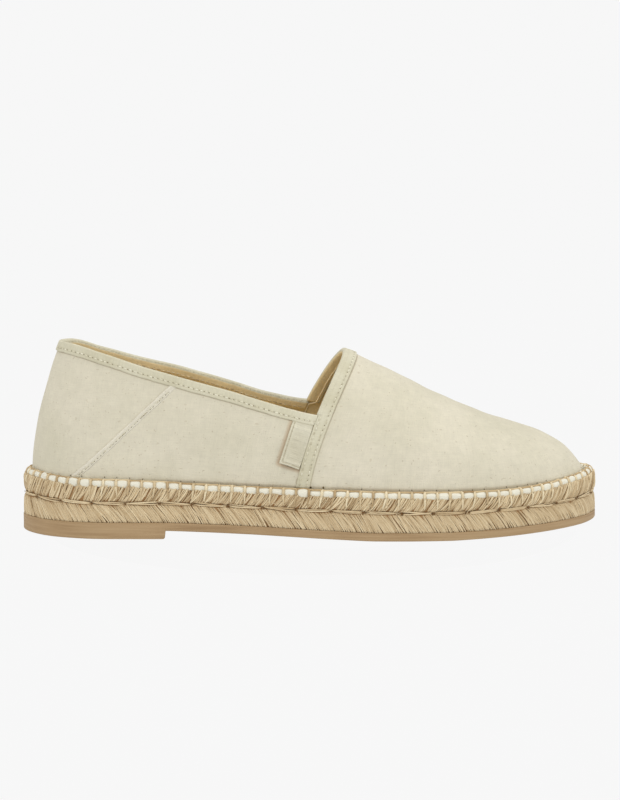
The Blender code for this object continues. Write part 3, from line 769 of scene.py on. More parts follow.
def mesh_piece(name, points, faces, finish, marks=(), nodes=(), sharp=None, weld=None):
    """A piece from points and faces; marks are named values, one row for each point."""
    mesh = bpy.data.meshes.new(name)
    mesh.from_pydata(np.asarray(points, float).tolist(), [], faces)
    for key, values in dict(marks).items():
        values = np.asarray(values, np.float32)
        kind, field = ("FLOAT", "value") if values.ndim == 1 else ("FLOAT_VECTOR", "vector")
        mesh.attributes.new(key, kind, "POINT").data.foreach_set(field, values.ravel())
    made = bmesh.new()
    made.from_mesh(mesh)
    if weld:
        bmesh.ops.remove_doubles(made, verts=made.verts, dist=weld)
    bmesh.ops.recalc_face_normals(made, faces=made.faces)
    made.to_mesh(mesh)
    made.free()
    mesh.shade_smooth()
    if sharp:
        mesh.set_sharp_from_angle(angle=np.radians(sharp))
    mesh.materials.append(finish)
    piece = add_object(name, mesh)
    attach(piece, "root")
    if nodes:
        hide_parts(*nodes)
    return piece


def grid_faces(rows, columns, start=0, around=False):
    """Quads between the rows of a grid of points, closed round the columns if asked."""
    ends = columns if around else columns - 1
    r, c = np.meshgrid(np.arange(rows - 1), np.arange(ends), indexing="ij")
    low, high = start + r * columns, start + (r + 1) * columns
    quads = np.stack([low + c, low + (c + 1) % columns, high + (c + 1) % columns, high + c], -1)
    return quads.reshape(-1, 4).tolist()


def bar_faces(rows, columns):
    """The faces of a closed bar through rows of points: its sides and its two ends."""
    last = (rows - 1) * columns
    caps = [list(range(columns)), [last + k for k in reversed(range(columns))]]
    return grid_faces(rows, columns, around=True) + caps


def row_lengths(points):
    """How far each point lies along its row, from the row's first point."""
    steps = np.cumsum(np.linalg.norm(np.diff(points, axis=1), axis=2), 1)
    return np.concatenate([np.zeros((len(points), 1)), steps], 1)


def circle(count):
    return np.linspace(0, 2 * np.pi, count, endpoint=False)


def tube_piece(name, paths, outs, radii, sides, tone_and_shade, finish, twist=0.0):
    """Closed tubes along many paths of the same length.

    tone is called after the tubes have drawn their own numbers, and gives each tube, or each of its steps, a
    random lightness and, for some pieces, painted shade.
    """
    count, steps = paths.shape[:2]
    run = unit(np.gradient(paths, axis=1))
    across = unit(np.cross(run, outs))
    out = np.cross(across, run)
    turn = circle(sides) + np.pi
    along = row_lengths(paths)
    radius = np.broadcast_to(radii, (count, steps))[..., None]
    if twist:
        radius = radius * (1 + 0.10 * np.cos(2 * (turn + along[..., None] * 2 * np.pi / twist)))
    offset = out[:, :, None] * np.cos(turn)[:, None] + across[:, :, None] * np.sin(turn)[:, None]
    points = paths[:, :, None] + offset * radius[..., None]
    faces, bar = [], bar_faces(steps, sides)
    for start in range(0, count * steps * sides, steps * sides):
        faces += [[start + c for c in face] for face in bar]
    seed = RANDOM.random((count, 1, 1)) * 40
    fibre = np.stack(np.broadcast_arrays(along[..., None], turn * float(np.mean(radii)), seed), -1)
    tone_and_shade_values = np.repeat(np.broadcast_to(tone_and_shade(), (count, steps)).ravel(), sides)
    values = {"fibre": fibre.reshape(-1, 3), "tone_and_shade": tone_and_shade_values}
    mesh_piece(name, points.reshape(-1, 3), faces, finish, values)


def layer(name, ways, rows, finish, nodes, sharp=None):
    """A sole layer of rings, as in the model: each row is an inset and a height over x."""
    rings, marks = [], []
    for inset, height in rows:
        ring, mark = [], []
        for side in (OUTER, INNER):
            plan = side_line(side, ways[side], inset[side] if isinstance(inset, dict) else inset)
            z = np.broadcast_to(height(plan[:, 0]), len(plan))
            points = np.column_stack([plan, z])
            values = np.column_stack([ways[side] * side_length(side), z, np.zeros(len(plan))])
            for kept, new in ((ring, points), (mark, values)):
                kept.append(new if side == OUTER else new[::-1][1:-1])
        rings.append(np.vstack(ring))
        marks.append(np.vstack(mark))
    count, half = len(rings[0]), len(ways[OUTER])
    faces = grid_faces(len(rings), count, around=True)
    for start in (0, (len(rings) - 1) * count):
        for k in range(half - 1):
            corners = [k, k + 1, (count - k - 1) % count, (count - k) % count]
            faces.append([start + c for c in dict.fromkeys(corners)])
    mesh_piece(name, np.vstack(rings), faces, finish, {"weave": np.vstack(marks)}, nodes, sharp)


def even_ways(count):
    return {side: np.linspace(0, 1, count + 1) for side in (OUTER, INNER)}


def throat_line(side, rises):
    """Points up the throat's line on one side."""
    return last_point(side, np.full_like(rises, THROAT_WAY), rises)


def tab_frame():
    """The side tab's lower front corner, and its ways up and back, seen from the side."""
    top = rise_at(OUTER, THROAT_WAY, BINDING_WIDTH + TAB_CLEARANCE)[0]
    edge = throat_line(OUTER, np.linspace(0, top, 401))[:, [0, 2]]
    low = edge[np.argmax(np.hypot(*(edge - edge[-1]).T) < TAB_LENGTH)]
    upward = unit(edge[-1] - low)
    return low, upward, np.array([-upward[1], upward[0]])


def tab_shade(side, found):
    """How near points of the canvas are to the side tab, one at its edge, for the painted shadow round its
    back edge and its ends.
    """
    low, upward, back = tab_frame()
    off = found[..., [0, 2]] - low
    along, across = off @ upward, off @ back
    past_end = np.maximum(np.maximum(-along, along - TAB_LENGTH), 0)
    gap = np.hypot(past_end, np.maximum(across - TAB_WIDTH - TAB_SPREAD, 0))
    return np.clip(1 - gap / SHADE_REACH, 0, 1) * (across > -0.001) * (side == OUTER)


def skin(name, size, depth, thickness, finish, nodes=()):
    """One shell of the upper, a given depth in from the canvas's face.

    size counts the columns of the quarters and of the vamp, and the rows below and above the
    throat's corner.
    """
    quarters, vamps, low_rows, crown_rows = size
    points, faces, marks, trim_shadow_nearness, shades = [], [], [], [], []
    quarter = THROAT_WAY * np.linspace(0, 1, quarters + 1) ** 1.1
    onward = 1 - (1 - np.linspace(0, 1, vamps + 1)) ** 1.1
    vamp = THROAT_WAY + (1 - THROAT_WAY) * onward
    low = np.linspace(0, 1, low_rows + 1) ** 1.15
    high = np.linspace(0, 1, crown_rows + 1)[1:]
    corners = {one: float(rise_at(one, THROAT_WAY)[0]) for one in (OUTER, INNER)}
    total = 0
    for side in (OUTER, INNER):
        onward = (vamp - THROAT_WAY) / (1 - THROAT_WAY)
        corner = corners[side] + onward * ((corners[OUTER] + corners[INNER]) / 2 - corners[side])
        corner = corner[:, None]
        back = rise_at(side, quarter)[:, None] * low
        front = np.concatenate([corner * low, corner + (1 - corner) * high], 1)
        for ways, rises in ((quarter, back), (vamp, front)):
            ways = np.repeat(ways[:, None], rises.shape[1], 1)
            found = canvas_point(side, ways, rises, -depth)
            up = row_lengths(found)
            weave = np.stack([ways * side_length(side), up, np.zeros_like(up)], -1)
            # Distances from the throat tape's edges, the collar tape's lower edge and the cord, for the
            # canvas's painted shadow beside them
            beside = np.linalg.norm(np.diff(found, axis=0), axis=2)
            none = np.zeros((1, beside.shape[1]))
            if rises is back:
                beside = np.vstack([np.cumsum(beside[::-1], 0)[::-1], none])
                below = up[:, -1:] - up - BINDING_WIDTH
            else:
                beside = np.vstack([none, np.cumsum(beside, 0)]) - TAPE_WIDTH
                below = np.full_like(up, SHADE_REACH)
            over = found[..., 2] - jute_top(found[..., 0]) - CORD_DIAMETER * 0.9
            near = np.clip(1 - np.stack([below, beside, over], -1) / SHADE_REACH, 0, 1.2)
            for kept, new in ((points, found), (marks, weave), (trim_shadow_nearness, near)):
                kept.append(new.reshape(-1, 3))
            # The painted shadow beside the side tab
            shades.append(tab_shade(side, found).ravel())
            faces += grid_faces(*rises.shape, start=total)
            total += rises.size
    values = {"weave": np.vstack(marks), "trim_shadow_nearness": np.vstack(trim_shadow_nearness), "tone_and_shade": np.concatenate(shades)}
    piece = mesh_piece(name, np.vstack(points), faces, finish, values, nodes, weld=1e-5)
    wall = piece.modifiers.new("wall", "SOLIDIFY")
    wall.thickness, wall.offset = thickness, -1
    graph = bpy.context.evaluated_depsgraph_get()
    solid = bpy.data.meshes.new_from_object(piece.evaluated_get(graph))
    piece.modifiers.clear()
    piece.data = solid


def rises_below(side, ways, drops):
    """Rises at distances along each rib below the canvas's edge at the collar."""
    tops = rise_at(side, ways)
    share = np.linspace(0, 0.4, 41)
    rises = tops[:, None] * (1 - share)
    down = row_lengths(last_point(side, np.repeat(ways[:, None], len(share), 1), rises))
    return np.array([np.interp(np.maximum(d, 0), key, r) for d, key, r in zip(drops, down, rises)])


def collar_point(side, ways, drops, outs):
    """Points at distances below the collar's edge, or above it where the drop is negative."""
    drops = np.broadcast_to(drops, (len(ways), np.shape(drops)[-1]))
    rises = rises_below(side, ways, drops)
    return canvas_point(side, ways[:, None], rises, outs, np.maximum(-drops, 0))


def collar_facing(side, ways):
    return skin_frame(side, ways, rise_at(side, ways))[0]


def throat_point(side, rises, acrosses, outs):
    """Points beside the throat's line, so far forwards of it and out of the canvas."""
    step = 0.002
    stretch = 0
    for one in (OUTER, INNER):
        along = last_point(one, np.full_like(rises, THROAT_WAY + step), rises)
        along = along - throat_line(one, rises)
        upward = last_frame(one, np.full_like(rises, THROAT_WAY), rises)[1]
        level = along - upward * (along * upward).sum(-1)[..., None]
        stretch = stretch + np.linalg.norm(level, axis=-1) / step / 2
    acrosses = np.broadcast_to(acrosses, (len(rises), np.shape(acrosses)[-1]))
    return canvas_point(side, THROAT_WAY + acrosses / stretch[:, None], rises[:, None], outs)


def throat_facing(side, rises):
    return skin_frame(side, np.full_like(rises, THROAT_WAY), rises)[0]


def even_steps(curve, low, high, pitch):
    """Values between low and high at even distances along a curve of points."""
    dense = np.linspace(low, high, 600)
    key = row_lengths(curve(dense)[None])[0]
    count = max(2, round(key[-1] / pitch))
    return np.interp(np.linspace(0, key[-1], count + 1), key, dense), key[-1]


def loft(name, rings, finish, nodes=(), inner=None, inner_points=(), groove=0.0):
    """A closed bar through sections of points; the given section points take the inner finish."""
    rows, columns = rings.shape[:2]
    run = row_lengths(rings[:, 0][None])[0]
    girth = row_lengths(rings)
    weave = np.stack([np.repeat(run[:, None], columns, 1), girth, np.zeros_like(girth)], -1)
    values = {"weave": weave.reshape(-1, 3), "groove": np.broadcast_to(groove, (rows, columns)).ravel()}
    piece = mesh_piece(name, rings.reshape(-1, 3), bar_faces(rows, columns), finish, values, nodes)
    if inner is not None:
        piece.data.materials.append(inner)
        chosen = set(inner_points)
        for face in piece.data.polygons:
            if len(face.vertices) == 4 and all(v % columns in chosen for v in face.vertices):
                face.material_index = 1


def discs(name, points, normals, radius, finish):
    """Small flat lens shapes, which take a dark finish as painted shade in needle holes and hollows."""
    sides = 8
    side = unit(np.cross(normals, (0.3, 0.2, 0.9)))
    over = np.cross(normals, side)
    turn = circle(sides)[:, None]
    size = np.broadcast_to(radius, len(points))[:, None, None]
    ring = points[:, None] + (side[:, None] * np.cos(turn) + over[:, None] * np.sin(turn)) * size
    top = points[:, None] + normals[:, None] * 0.00006
    low = points[:, None] - normals[:, None] * 0.0002
    every = np.concatenate([ring, top, low], 1)
    faces = []
    for start in range(0, len(points) * (sides + 2), sides + 2):
        for c in range(sides):
            ends = [start + c, start + (c + 1) % sides]
            faces += [ends + [start + sides], ends[::-1] + [start + sides + 1]]
    mesh_piece(name, every.reshape(-1, 3), faces, finish)


def build_upper(canvas, lining):
    skin("canvas_upper", (100, 120, 46, 28), 0.0, CANVAS_SKIN, canvas, ["upper"])
    skin("upper_lining", (44, 54, 20, 14), CANVAS_SKIN + 0.0001, CANVAS_SKIN, lining)


def tape_profile(width, rows, steps):
    """Distances across a tape and its height there, dipped along its rows of stitches."""
    share = (1 - np.cos(np.linspace(0, np.pi, steps))) / 2
    across = share * width
    edge = np.minimum(across, width - across)
    high = TAPE_RISE * np.sqrt(np.clip(1 - (1 - np.minimum(edge / 0.0005, 1)) ** 2, 0.04, 1))
    dip = sum(bell(across, row, 0.00055) for row in rows)
    return across, high, dip


def stitch_dips(run):
    """How deep each stitch pulls along a tape's row: most at its two ends."""
    return 0.65 + 0.35 * np.cos(2 * np.pi * run / TAPE_STITCH)[:, None]


def wander(run, size, seed):
    """A slow uneven drift along a run."""
    return size * (np.sin(run * 410 + seed) * 0.6 + np.sin(run * 930 + seed * 3.1) * 0.4)


def thread_paths(place, side, marks, across, run, keys, arch, base=0.0, size=TAPE_RISE):
    """Threads at marks along a tape, each through the spots of an arch: shift and lift."""
    parts = []
    for shift, lift in arch:
        at = np.interp(marks + shift * TAPE_STITCH, run, keys)
        parts.append(place(side, at, across[:, None], np.full((len(at), 1), base + lift * size))[:, 0])
    return np.stack(parts, 1)


def stitch_row(place, facing, *row):
    """One row of a tape's stitches: threads and needle holes, each with the way they face."""
    side, marks, _, run, keys = row
    threads = thread_paths(place, *row, STITCH_ARCH)
    holes = thread_paths(place, *row, ((0.5, 0.0),), TAPE_RISE - 0.00010)[:, 0]
    out, hole_out = (facing(side, np.interp(marks + s * TAPE_STITCH, run, keys)) for s in (0, 0.5))
    return threads, out, holes, hole_out


def build_collar_tape(tape, inner, thread, gold):
    """The tape folded over the collar, with a row of small stitches along its middle."""
    width = BINDING_WIDTH + 0.0003
    across, high, dip = tape_profile(width, (COLLAR_ROW,), 15)
    inside = -UPPER_WALL - 0.0002
    low, under = np.array(COLLAR_FOLD)[::-1].T
    legs, leg_rises = np.array(COLLAR_LEG)[::-1].T
    leg_outs = inside - TAPE_RISE * leg_rises
    rings, groove_shades, inside_seams, stitches = [], [], [], []
    for side in (INNER, OUTER):
        edge = lambda w: last_point(side, w, rise_at(side, w))
        ways, length = even_steps(edge, 0.0, THROAT_WAY - 0.0004, TAPE_STEP)
        run = np.linspace(0, length, len(ways))
        pull = stitch_dips(run)
        each = np.ones((len(ways), 1))
        drop = across + wander(run, 0.00012, 1.0)[:, None] * (across / width)
        out = np.where(across < 0.0005, TAPE_RISE, high) - TAPE_DIP * dip * (1 - pull) + 0.00005
        drops = np.concatenate([each * legs, each * low, drop, drop[:, -1:] - 0.0002], 1)
        outs = np.concatenate([each * leg_outs, each * (under * TAPE_RISE), out, each * 0.00004], 1)
        found = collar_point(side, ways, drops, outs)
        # Painted shade in the dips of the stitch row and along the tape's lower edge; the fold's inner end
        # is darker too
        painted_groove_shade = np.zeros(found.shape[:2])
        painted_groove_shade[:, -len(across) - 1 : -1] = 0.6 * dip * (1.1 - pull)
        painted_groove_shade[:, -2:] = 0.5
        painted_groove_shade[:, len(legs) : len(legs) + 2] = 0.75
        for kept, new in ((rings, found), (groove_shades, painted_groove_shade)):
            kept.append(new[::-1] if side == INNER else new[1:])
        marks = np.arange(TAPE_STITCH, length - TAPE_STITCH, TAPE_STITCH)
        marks = marks + shake(0.00018, len(marks))
        row = (side, marks, COLLAR_ROW + shake(0.00012, len(marks)), run, ways)
        stitches.append(stitch_row(collar_point, collar_facing, *row))
        inside_seams.append(thread_paths(collar_point, *row, INSIDE_ARCH, inside - TAPE_RISE, 0.0006))
    threads, out, holes, hole_out = map(np.concatenate, zip(*stitches))
    rings, groove_shades = np.concatenate(rings), np.concatenate(groove_shades)
    loft("collar_tape", rings, tape, ["collar_binding"], inner, range(len(legs)), groove_shades)
    add_stitches("collar_stitches", threads, out, thread)
    add_stitches("collar_stitches_inside", np.concatenate(inside_seams), -out, gold)
    return holes, hole_out


def add_stitches(name, paths, outs, finish, width=0.00058):
    outs = np.repeat(outs[:, None], paths.shape[1], 1) if outs.ndim == 2 else outs
    tone_and_shade = lambda: RANDOM.random((len(paths), 1))
    tube_piece(name, paths, outs, width / 2, 6, tone_and_shade, finish)


def build_throat_tape(tape, inner, thread, gold):
    """The tape up each side over the join, and folded round the throat above the collar."""
    across, high, dip = tape_profile(TAPE_WIDTH + 0.0002, THROAT_ROWS, 21)
    across = across - 0.0002
    beside = np.concatenate([[across[0] + 0.0002], across, [across[-1] - 0.0002]])
    section, section_out = np.array(THROAT_FOLD).T
    rings, folds, groove_shades, hems, hem_out, stitches = [], [], [], [], [], []
    for side in (OUTER, INNER):
        line = lambda r: throat_line(side, r)
        rises = np.linspace(0, 1, 401)
        ribs = line(rises)
        foot = rises[np.argmax(ribs[:, 2] - jute_top(ribs[:, 0]) > CORD_DIAMETER * 0.75)]
        corner = float(rise_at(side, THROAT_WAY)[0])
        path, length = even_steps(line, foot, 1.0, TAPE_STEP)
        run = np.linspace(0, length, len(path))
        pull = stitch_dips(run)
        top = high + 0.00005 - TAPE_DIP * dip * (1 - pull)
        edge = np.full((len(path), 1), 0.00003)
        found = throat_point(side, path, beside, np.concatenate([edge, top, edge], 1))
        # Painted shade in the dips of the rows of stitches and along the tape's two edges
        painted_groove_shade = np.pad(0.6 * dip * (1.1 - pull), ((0, 0), (1, 1)), constant_values=0.5)
        above, fold_length = even_steps(line, corner + 0.008, 1.0, 0.0009)
        drift = wander(np.linspace(0, fold_length, len(above)), 0.0001, 2.0)[:, None]
        lifts = np.repeat([section_out * TAPE_RISE], len(above), 0)
        fold = throat_point(side, above, section + drift * (section > 0.004), lifts)
        for kept, new in ((rings, found), (groove_shades, painted_groove_shade), (folds, fold)):
            kept.append(new if side == OUTER else new[::-1][1:])
        at = np.append(np.linspace(0.97, corner + 0.01, 40), np.linspace(corner - 0.01, corner - 0.16, 12))
        hem = np.append(np.linspace(0.0026, 0.0036, 40), np.full(12, 0.0006))
        hem = hem + wander(at * 0.08, 0.0002, 5.0)
        depth = np.repeat([-0.0027, -0.0022], [40, 12])
        hems.append(throat_point(side, at, hem[:, None], depth[:, None])[:, 0])
        hem_out.append(-throat_facing(side, at))
        for index, row in enumerate(THROAT_ROWS):
            marks = np.arange(TAPE_STITCH * (0.7 + 0.4 * index), length - TAPE_STITCH, TAPE_STITCH)
            if index == 0:
                marks = marks[np.interp(marks, run, path) < corner + 0.01]
            row = row + shake(0.00012, len(marks))
            stitches.append(stitch_row(throat_point, throat_facing, side, marks, row, run, path))
    threads, out, holes, hole_out = map(np.concatenate, zip(*stitches))
    groove_shades = np.concatenate(groove_shades)
    loft("throat_tape", np.concatenate(rings), tape, ["throat_binding"], groove=groove_shades)
    loft("throat_fold", np.concatenate(folds), tape, (), inner, THROAT_FOLD_INSIDE)
    add_stitches("throat_stitches", threads, out, thread)
    add_stitches("throat_hem", np.stack(hems), np.stack(hem_out), gold, 0.0007)
    return holes, hole_out


def seam_span():
    """The heel panel's seam in side view: how far it runs back to front, and upwards."""
    return np.array([np.diff(column(SEAM, 0))[0] * SOLE_LENGTH, np.diff(column(SEAM, 1))[0] * BACK_HEIGHT])


def seam_place(side, share, across):
    """Way and rise beside the heel panel's seam, at shares of its run and distances across."""
    share, across = np.broadcast_arrays(share, across)
    x = HEEL_X + (SEAM[0][0] + share * (SEAM[1][0] - SEAM[0][0])) * SOLE_LENGTH
    z = jute_top(x) + (SEAM[0][1] + share * (SEAM[1][1] - SEAM[0][1])) * BACK_HEIGHT
    run = seam_span() / np.hypot(*seam_span())
    return place_on_side(side, x + across * run[1], z - across * run[0])


def build_heel_seams(fold, thread):
    """The folded edge of the heel panel on each side, with its small stitches in front."""
    section, height = np.array(SEAM_SECTION).T
    length = np.hypot(*seam_span())
    seams, seam_out, holes, hole_out = [], [], [], []
    for side, label in ((OUTER, "outer"), (INNER, "inner")):
        share = np.linspace(0.0, 1.07, 106)[:, None]
        drift = wander(share * length, 0.00012, 4.0)
        way, rise = seam_place(side, share, 1.3 * section + drift)
        high = height * 0.00125 * (0.92 + 0.12 * np.sin(share * 61) * np.sin(share * 23))
        # The fold takes a lighter copy of the canvas, a painted highlight on its ridge
        loft("heel_seam_" + label, canvas_point(side, way, rise, high), fold)
        marks = np.arange(SEAM_STITCH, length, SEAM_STITCH) / length

        def spots(shift, out):
            along = marks + shift * SEAM_STITCH / length
            way, rise = seam_place(side, along, np.full_like(marks, SEAM_ROW))
            return canvas_point(side, way, rise, np.full_like(marks, out)), skin_frame(side, way, rise)[0]

        stitch = [spots(shift, SEAM_LIFT - 0.0022 * shift**2) for shift in (-0.3, -0.15, 0.0, 0.15, 0.3)]
        seams.append(np.stack([spot for spot, _ in stitch], 1))
        seam_out.append(stitch[-1][1])
        hole, normal = spots(0.5, SEAM_LIFT - 0.00012)
        holes.append(hole)
        hole_out.append(normal)
    add_stitches("heel_seam_stitches", np.concatenate(seams), np.concatenate(seam_out), thread, 0.0005)
    return np.concatenate(holes), np.concatenate(hole_out)


def build_side_tab(tab):
    """The plain cloth tab: fine ribs inside a raised border, its back edge standing off."""
    low, upward, back = tab_frame()
    along = np.linspace(0, TAB_LENGTH + 0.0016, 60)[:, None]
    wide = TAB_WIDTH + TAB_SPREAD
    across = np.concatenate([np.linspace(0.0004, wide, 36), [wide - 0.0001, 0.0005]])[None]
    x = low[0] + upward[0] * along + back[0] * across
    z = low[1] + upward[1] * along + back[1] * across
    way, rise = place_on_side(OUTER, x, z)
    side_gap = np.minimum(along, wide - across)
    edge_gap = np.minimum(side_gap, across + 0.002)
    thick = 0.00095 * np.sqrt(np.clip(1 - (1 - np.minimum(edge_gap / 0.0004, 1)) ** 2, 0.05, 1))
    border = bell(edge_gap, 0.0019, 0.00028) - bell(edge_gap, 0.0013, 0.00022)
    ribbed = ease(edge_gap, 0.0023, 0.0029)
    ribs = np.sin(along * 2 * np.pi / 0.0009) * ribbed
    lift = 0.0011 * (across / wide) ** 2 * (1.1 - along / TAB_LENGTH) + 0.0002
    lift = lift + 0.0005 * bell(along, 0.0, 0.003)
    tuck = 1 - 0.75 * ease(along, TAB_LENGTH - 0.0028, TAB_LENGTH - 0.0004)
    out = (lift + thick + 0.00040 * border + 0.00016 * ribs) * tuck
    out[:, -2:] = (lift * tuck)[:, -2:]
    # Painted shade in the border's groove, between the ribs and along the tab's edges
    painted_groove_shade = 0.85 * bell(edge_gap, 0.0013, 0.00026) + 0.2 * (0.5 - 0.5 * ribs) * ribbed
    painted_groove_shade = np.clip(painted_groove_shade + 0.7 * bell(side_gap, 0.0, 0.0003), 0, 1)
    loft("side_tab_cloth", canvas_point(OUTER, way, rise, out), tab, ["side_tab"], groove=painted_groove_shade)


def cord_height(x):
    return jute_top(x) + edge_lift(x) + GAP + CORD_DIAMETER / 2 - CORD_SINK


def build_cord(finish):
    """The soft cord round the edge, pinched by each stitch and puffed between them."""
    per, sides = 14, 16
    count = STITCHES * per
    far = np.arange(count) * RING_LENGTH / count
    phase = (np.arange(count) % per) / per
    cell = np.arange(count) // per
    puff = 1.0 + shake(0.05, STITCHES)
    middle = ring_plan((np.arange(STITCHES) + 0.5) * STITCH_STEP)
    puff = puff + 0.20 * ease(abs(middle[:, 0]), 0.105, 0.138)
    for at, size in CORD_PUFFS:
        puff[np.argmin(abs(middle[:, 0] - at) + (middle[:, 1] > 0))] = size
    pinch = bell(np.minimum(phase, 1 - phase), 0.0, 0.125)
    swell = np.sin(np.pi * phase) ** 0.6
    radius = CORD_RADIUS * ((0.93 + 0.13 * swell - 0.17 * pinch) * (1 + (puff[cell] - 1) * (1 - pinch)))
    centre = ring_point(far, CORD_INSET + edge_tuck(far), cord_height)
    turn = circle(sides) + np.pi
    strand = 1 + 0.06 * np.cos(3 * turn + far[:, None] * 2 * np.pi / 0.009) * (1 - pinch[:, None])
    size = radius[:, None] * strand
    points = centre[:, None] + ring_out(far)[:, None] * (np.cos(turn) * size)[..., None]
    points[..., 2] += np.sin(turn) * size * 1.02
    fibre = np.stack(np.broadcast_arrays(far[:, None], turn * CORD_DIAMETER / 2, 0.0), -1)
    # Painted shade on the cord where each stitch pinches it
    values = {"fibre": fibre.reshape(-1, 3), "tone_and_shade": np.repeat(1 - pinch, sides)}
    index = np.arange(count * sides).reshape(count, sides)
    over = np.roll(index, -1, axis=0)
    faces = np.stack([index, np.roll(index, -1, 1), np.roll(over, -1, 1), over], -1).reshape(-1, 4).tolist()
    mesh_piece("edge_cord", points.reshape(-1, 3), faces, finish, values, ["welt_cord"])


def build_edge_stitches(finish, rail_shaded):
    """Blanket stitches: a leg over the cord at each pinch and a thread from leg to leg above."""
    tone_and_shade = lambda: RANDOM.random((STITCHES, 1))
    far = np.arange(STITCHES) * STITCH_STEP
    reach = CORD_RADIUS * 0.86 + THREAD_WIDTH * 0.30
    lean = shake(0.00030, STITCHES)
    out, centre = ring_out(far), ring_point(far, CORD_INSET + edge_tuck(far), cord_height)
    legs = []
    for angle in np.radians((122, 98, 74, 50, 28, 6, -16, -38)):
        spot = centre + out * (np.cos(angle) * reach)
        spot[:, 2] += np.sin(angle) * reach
        legs.append(spot)
    for drop, inset in LEG_FEET:
        here = far + (lean - 0.00035) * drop / 0.003
        height = lambda x: jute_top(x) + edge_lift(x) + GAP - drop
        legs.append(ring_point(here, inset + 0.6 * edge_tuck(here), height))
    paths = np.stack(legs, 1)
    outs = np.repeat(out[:, None], paths.shape[1], 1)
    outs[:, :4, 2] += np.array([3.0, 1.6, 0.9, 0.5])
    size = THREAD_WIDTH / 2 * np.array(LEG_TAPER) * (1 + shake(0.05, (STITCHES, 1)))
    tube_piece("stitch_legs", paths, unit(outs), size, 8, tone_and_shade, finish, THREAD_TWIST)
    run = np.linspace(0, 1, 7)
    far = (np.arange(STITCHES)[:, None] + run) * STITCH_STEP
    arch = np.sin(np.pi * run)
    inset = CORD_INSET + edge_tuck(far) - 0.0004 + 0.0002 * arch + shake(0.00008, (STITCHES, 1))
    shift = shake(0.00014, (STITCHES, 1)) * arch
    paths = ring_point(far, inset, lambda x: cord_height(x) + CORD_RADIUS * 1.20 - 0.00012 * arch + shift)
    outs = ring_out(far)
    outs[..., 2] += 0.8
    # The thread above the cord takes the darker copy of the legs' finish: painted shade
    tube_piece("stitch_rail", paths, unit(outs), THREAD_WIDTH / 2 * 0.86, 8, tone_and_shade, rail_shaded, THREAD_TWIST)


def build_yarns(name, finish, low, high, groups, per, travel, bow, spread, hollow, uneven):
    """One row of the plait: slanting yarns in groups, tucked in at both ends.

    travel is the distance a yarn runs along the sole on its way up, bow bends it, spread is
    how much narrower a group is at the groove, and hollow is how deep it sinks at its edges.
    """
    step = RING_LENGTH / groups
    count = groups * per
    t = np.linspace(0, 1, 9)
    group = np.repeat(np.arange(groups), per)
    place = np.tile((np.arange(per) + 0.5) / per - 0.5, groups)
    place = place + shake(0.10 / per, count)
    at_groove = t if low < 0.1 else 1 - t
    narrow = 1 - spread * at_groove**2
    path = travel * (t + bow * t * (1 - t))
    far = (group[:, None] + 0.5 + place[:, None] * narrow) * step + path
    far = far + shake(0.0007, (count, 1)) * (t - 0.5) + shake(0.00018, (count, 1))
    far = far + np.repeat(shake(0.0005, groups), per)[:, None] * (1 - at_groove)
    share = low + (high - low) * t
    edge = abs(2 * place)[:, None]
    size = 0.78 * step / per * (1 + shake(0.13, (count, 1)))
    ends = abs(2 * t - 1) * np.where(at_groove > 0.5, 1.0, 0.62)
    inset = size + share * JUTE_TAPER + PLAIT_RELIEF * (0.10 + 0.62 * ends**3.0 + 0.75 * ends**10)
    inset = inset + hollow * edge**2.4 * (0.35 + 0.65 * at_groove**1.5)
    inset = inset + shake(uneven * 0.0012, (count, 1))
    sag = shake(0.0001, (count, 1)) * np.sin(np.pi * t)
    foot = lambda x: jute_height(x, share) + sag + edge_lift(x) * ease(share, GROOVE, 1.0)
    paths = ring_point(far, inset, foot)

    # Each yarn's random lightness, with painted shade where the yarns sink into the groove, most at the
    # edges of each group
    def tone_and_shade():
        own = np.clip(0.62 + shake(uneven, (count, 1)), 0, 1)
        return own * (1 - 0.20 * at_groove**5) - 0.14 * edge**3 * at_groove

    widths = size * (0.92 + 0.16 * np.sin(np.pi * t))
    tube_piece(name, paths, ring_out(far), widths, 5, tone_and_shade, finish, 0.0042)


def build_groove_strands(finish):
    """The strand that lies along the groove, going in at each gap between the lobes."""
    t = np.linspace(0, 1, 12)
    ends = abs(2 * t - 1)
    far = (np.arange(LOBES)[:, None] + t * 1.04 - 0.02) * LOBE_STEP
    paths = []
    for up in (-0.00042, 0.00028):
        inset = 0.0010 + 0.0016 * ends**5 + shake(0.00012, (LOBES, 1))
        tilt = shake(0.0007, (LOBES, 1)) * (t - 0.5)
        paths.append(ring_point(far, inset, lambda x: jute_height(x, GROOVE) + up * (1 - ends**4) + tilt))
    paths, outs = np.concatenate(paths), np.concatenate([ring_out(far)] * 2)
    size = 0.00036 * (1 - 0.3 * ends**6) * (1 + shake(0.18, (len(paths), 1)))
    # Each strand's random lightness, with painted shade at its ends where it goes in between the lobes
    tone_and_shade = lambda: np.clip(0.64 + shake(0.16, (len(paths), 1)) - 0.7 * ends**8, 0, 1)
    tube_piece("groove_strands", paths, outs, size, 8, tone_and_shade, finish, 0.0045)


def build_jute(jute, core):
    rows = [(inset, lambda x, s=share: jute_height(x, s)) for share, inset in JUTE_CORE]
    layer("jute_core", even_ways(150), rows, core, ["jute_sole"])
    build_yarns("jute_lower_row", jute, -0.012, GROOVE - 0.02, LOBES, 36, -0.0070, -0.25, 0.08, 0.0006, 0.10)
    build_yarns("jute_upper_row", jute, GROOVE + 0.02, 1.0, STITCHES, 12, 0.0050, 0.30, 0.20, 0.0008, 0.22)
    build_groove_strands(jute)


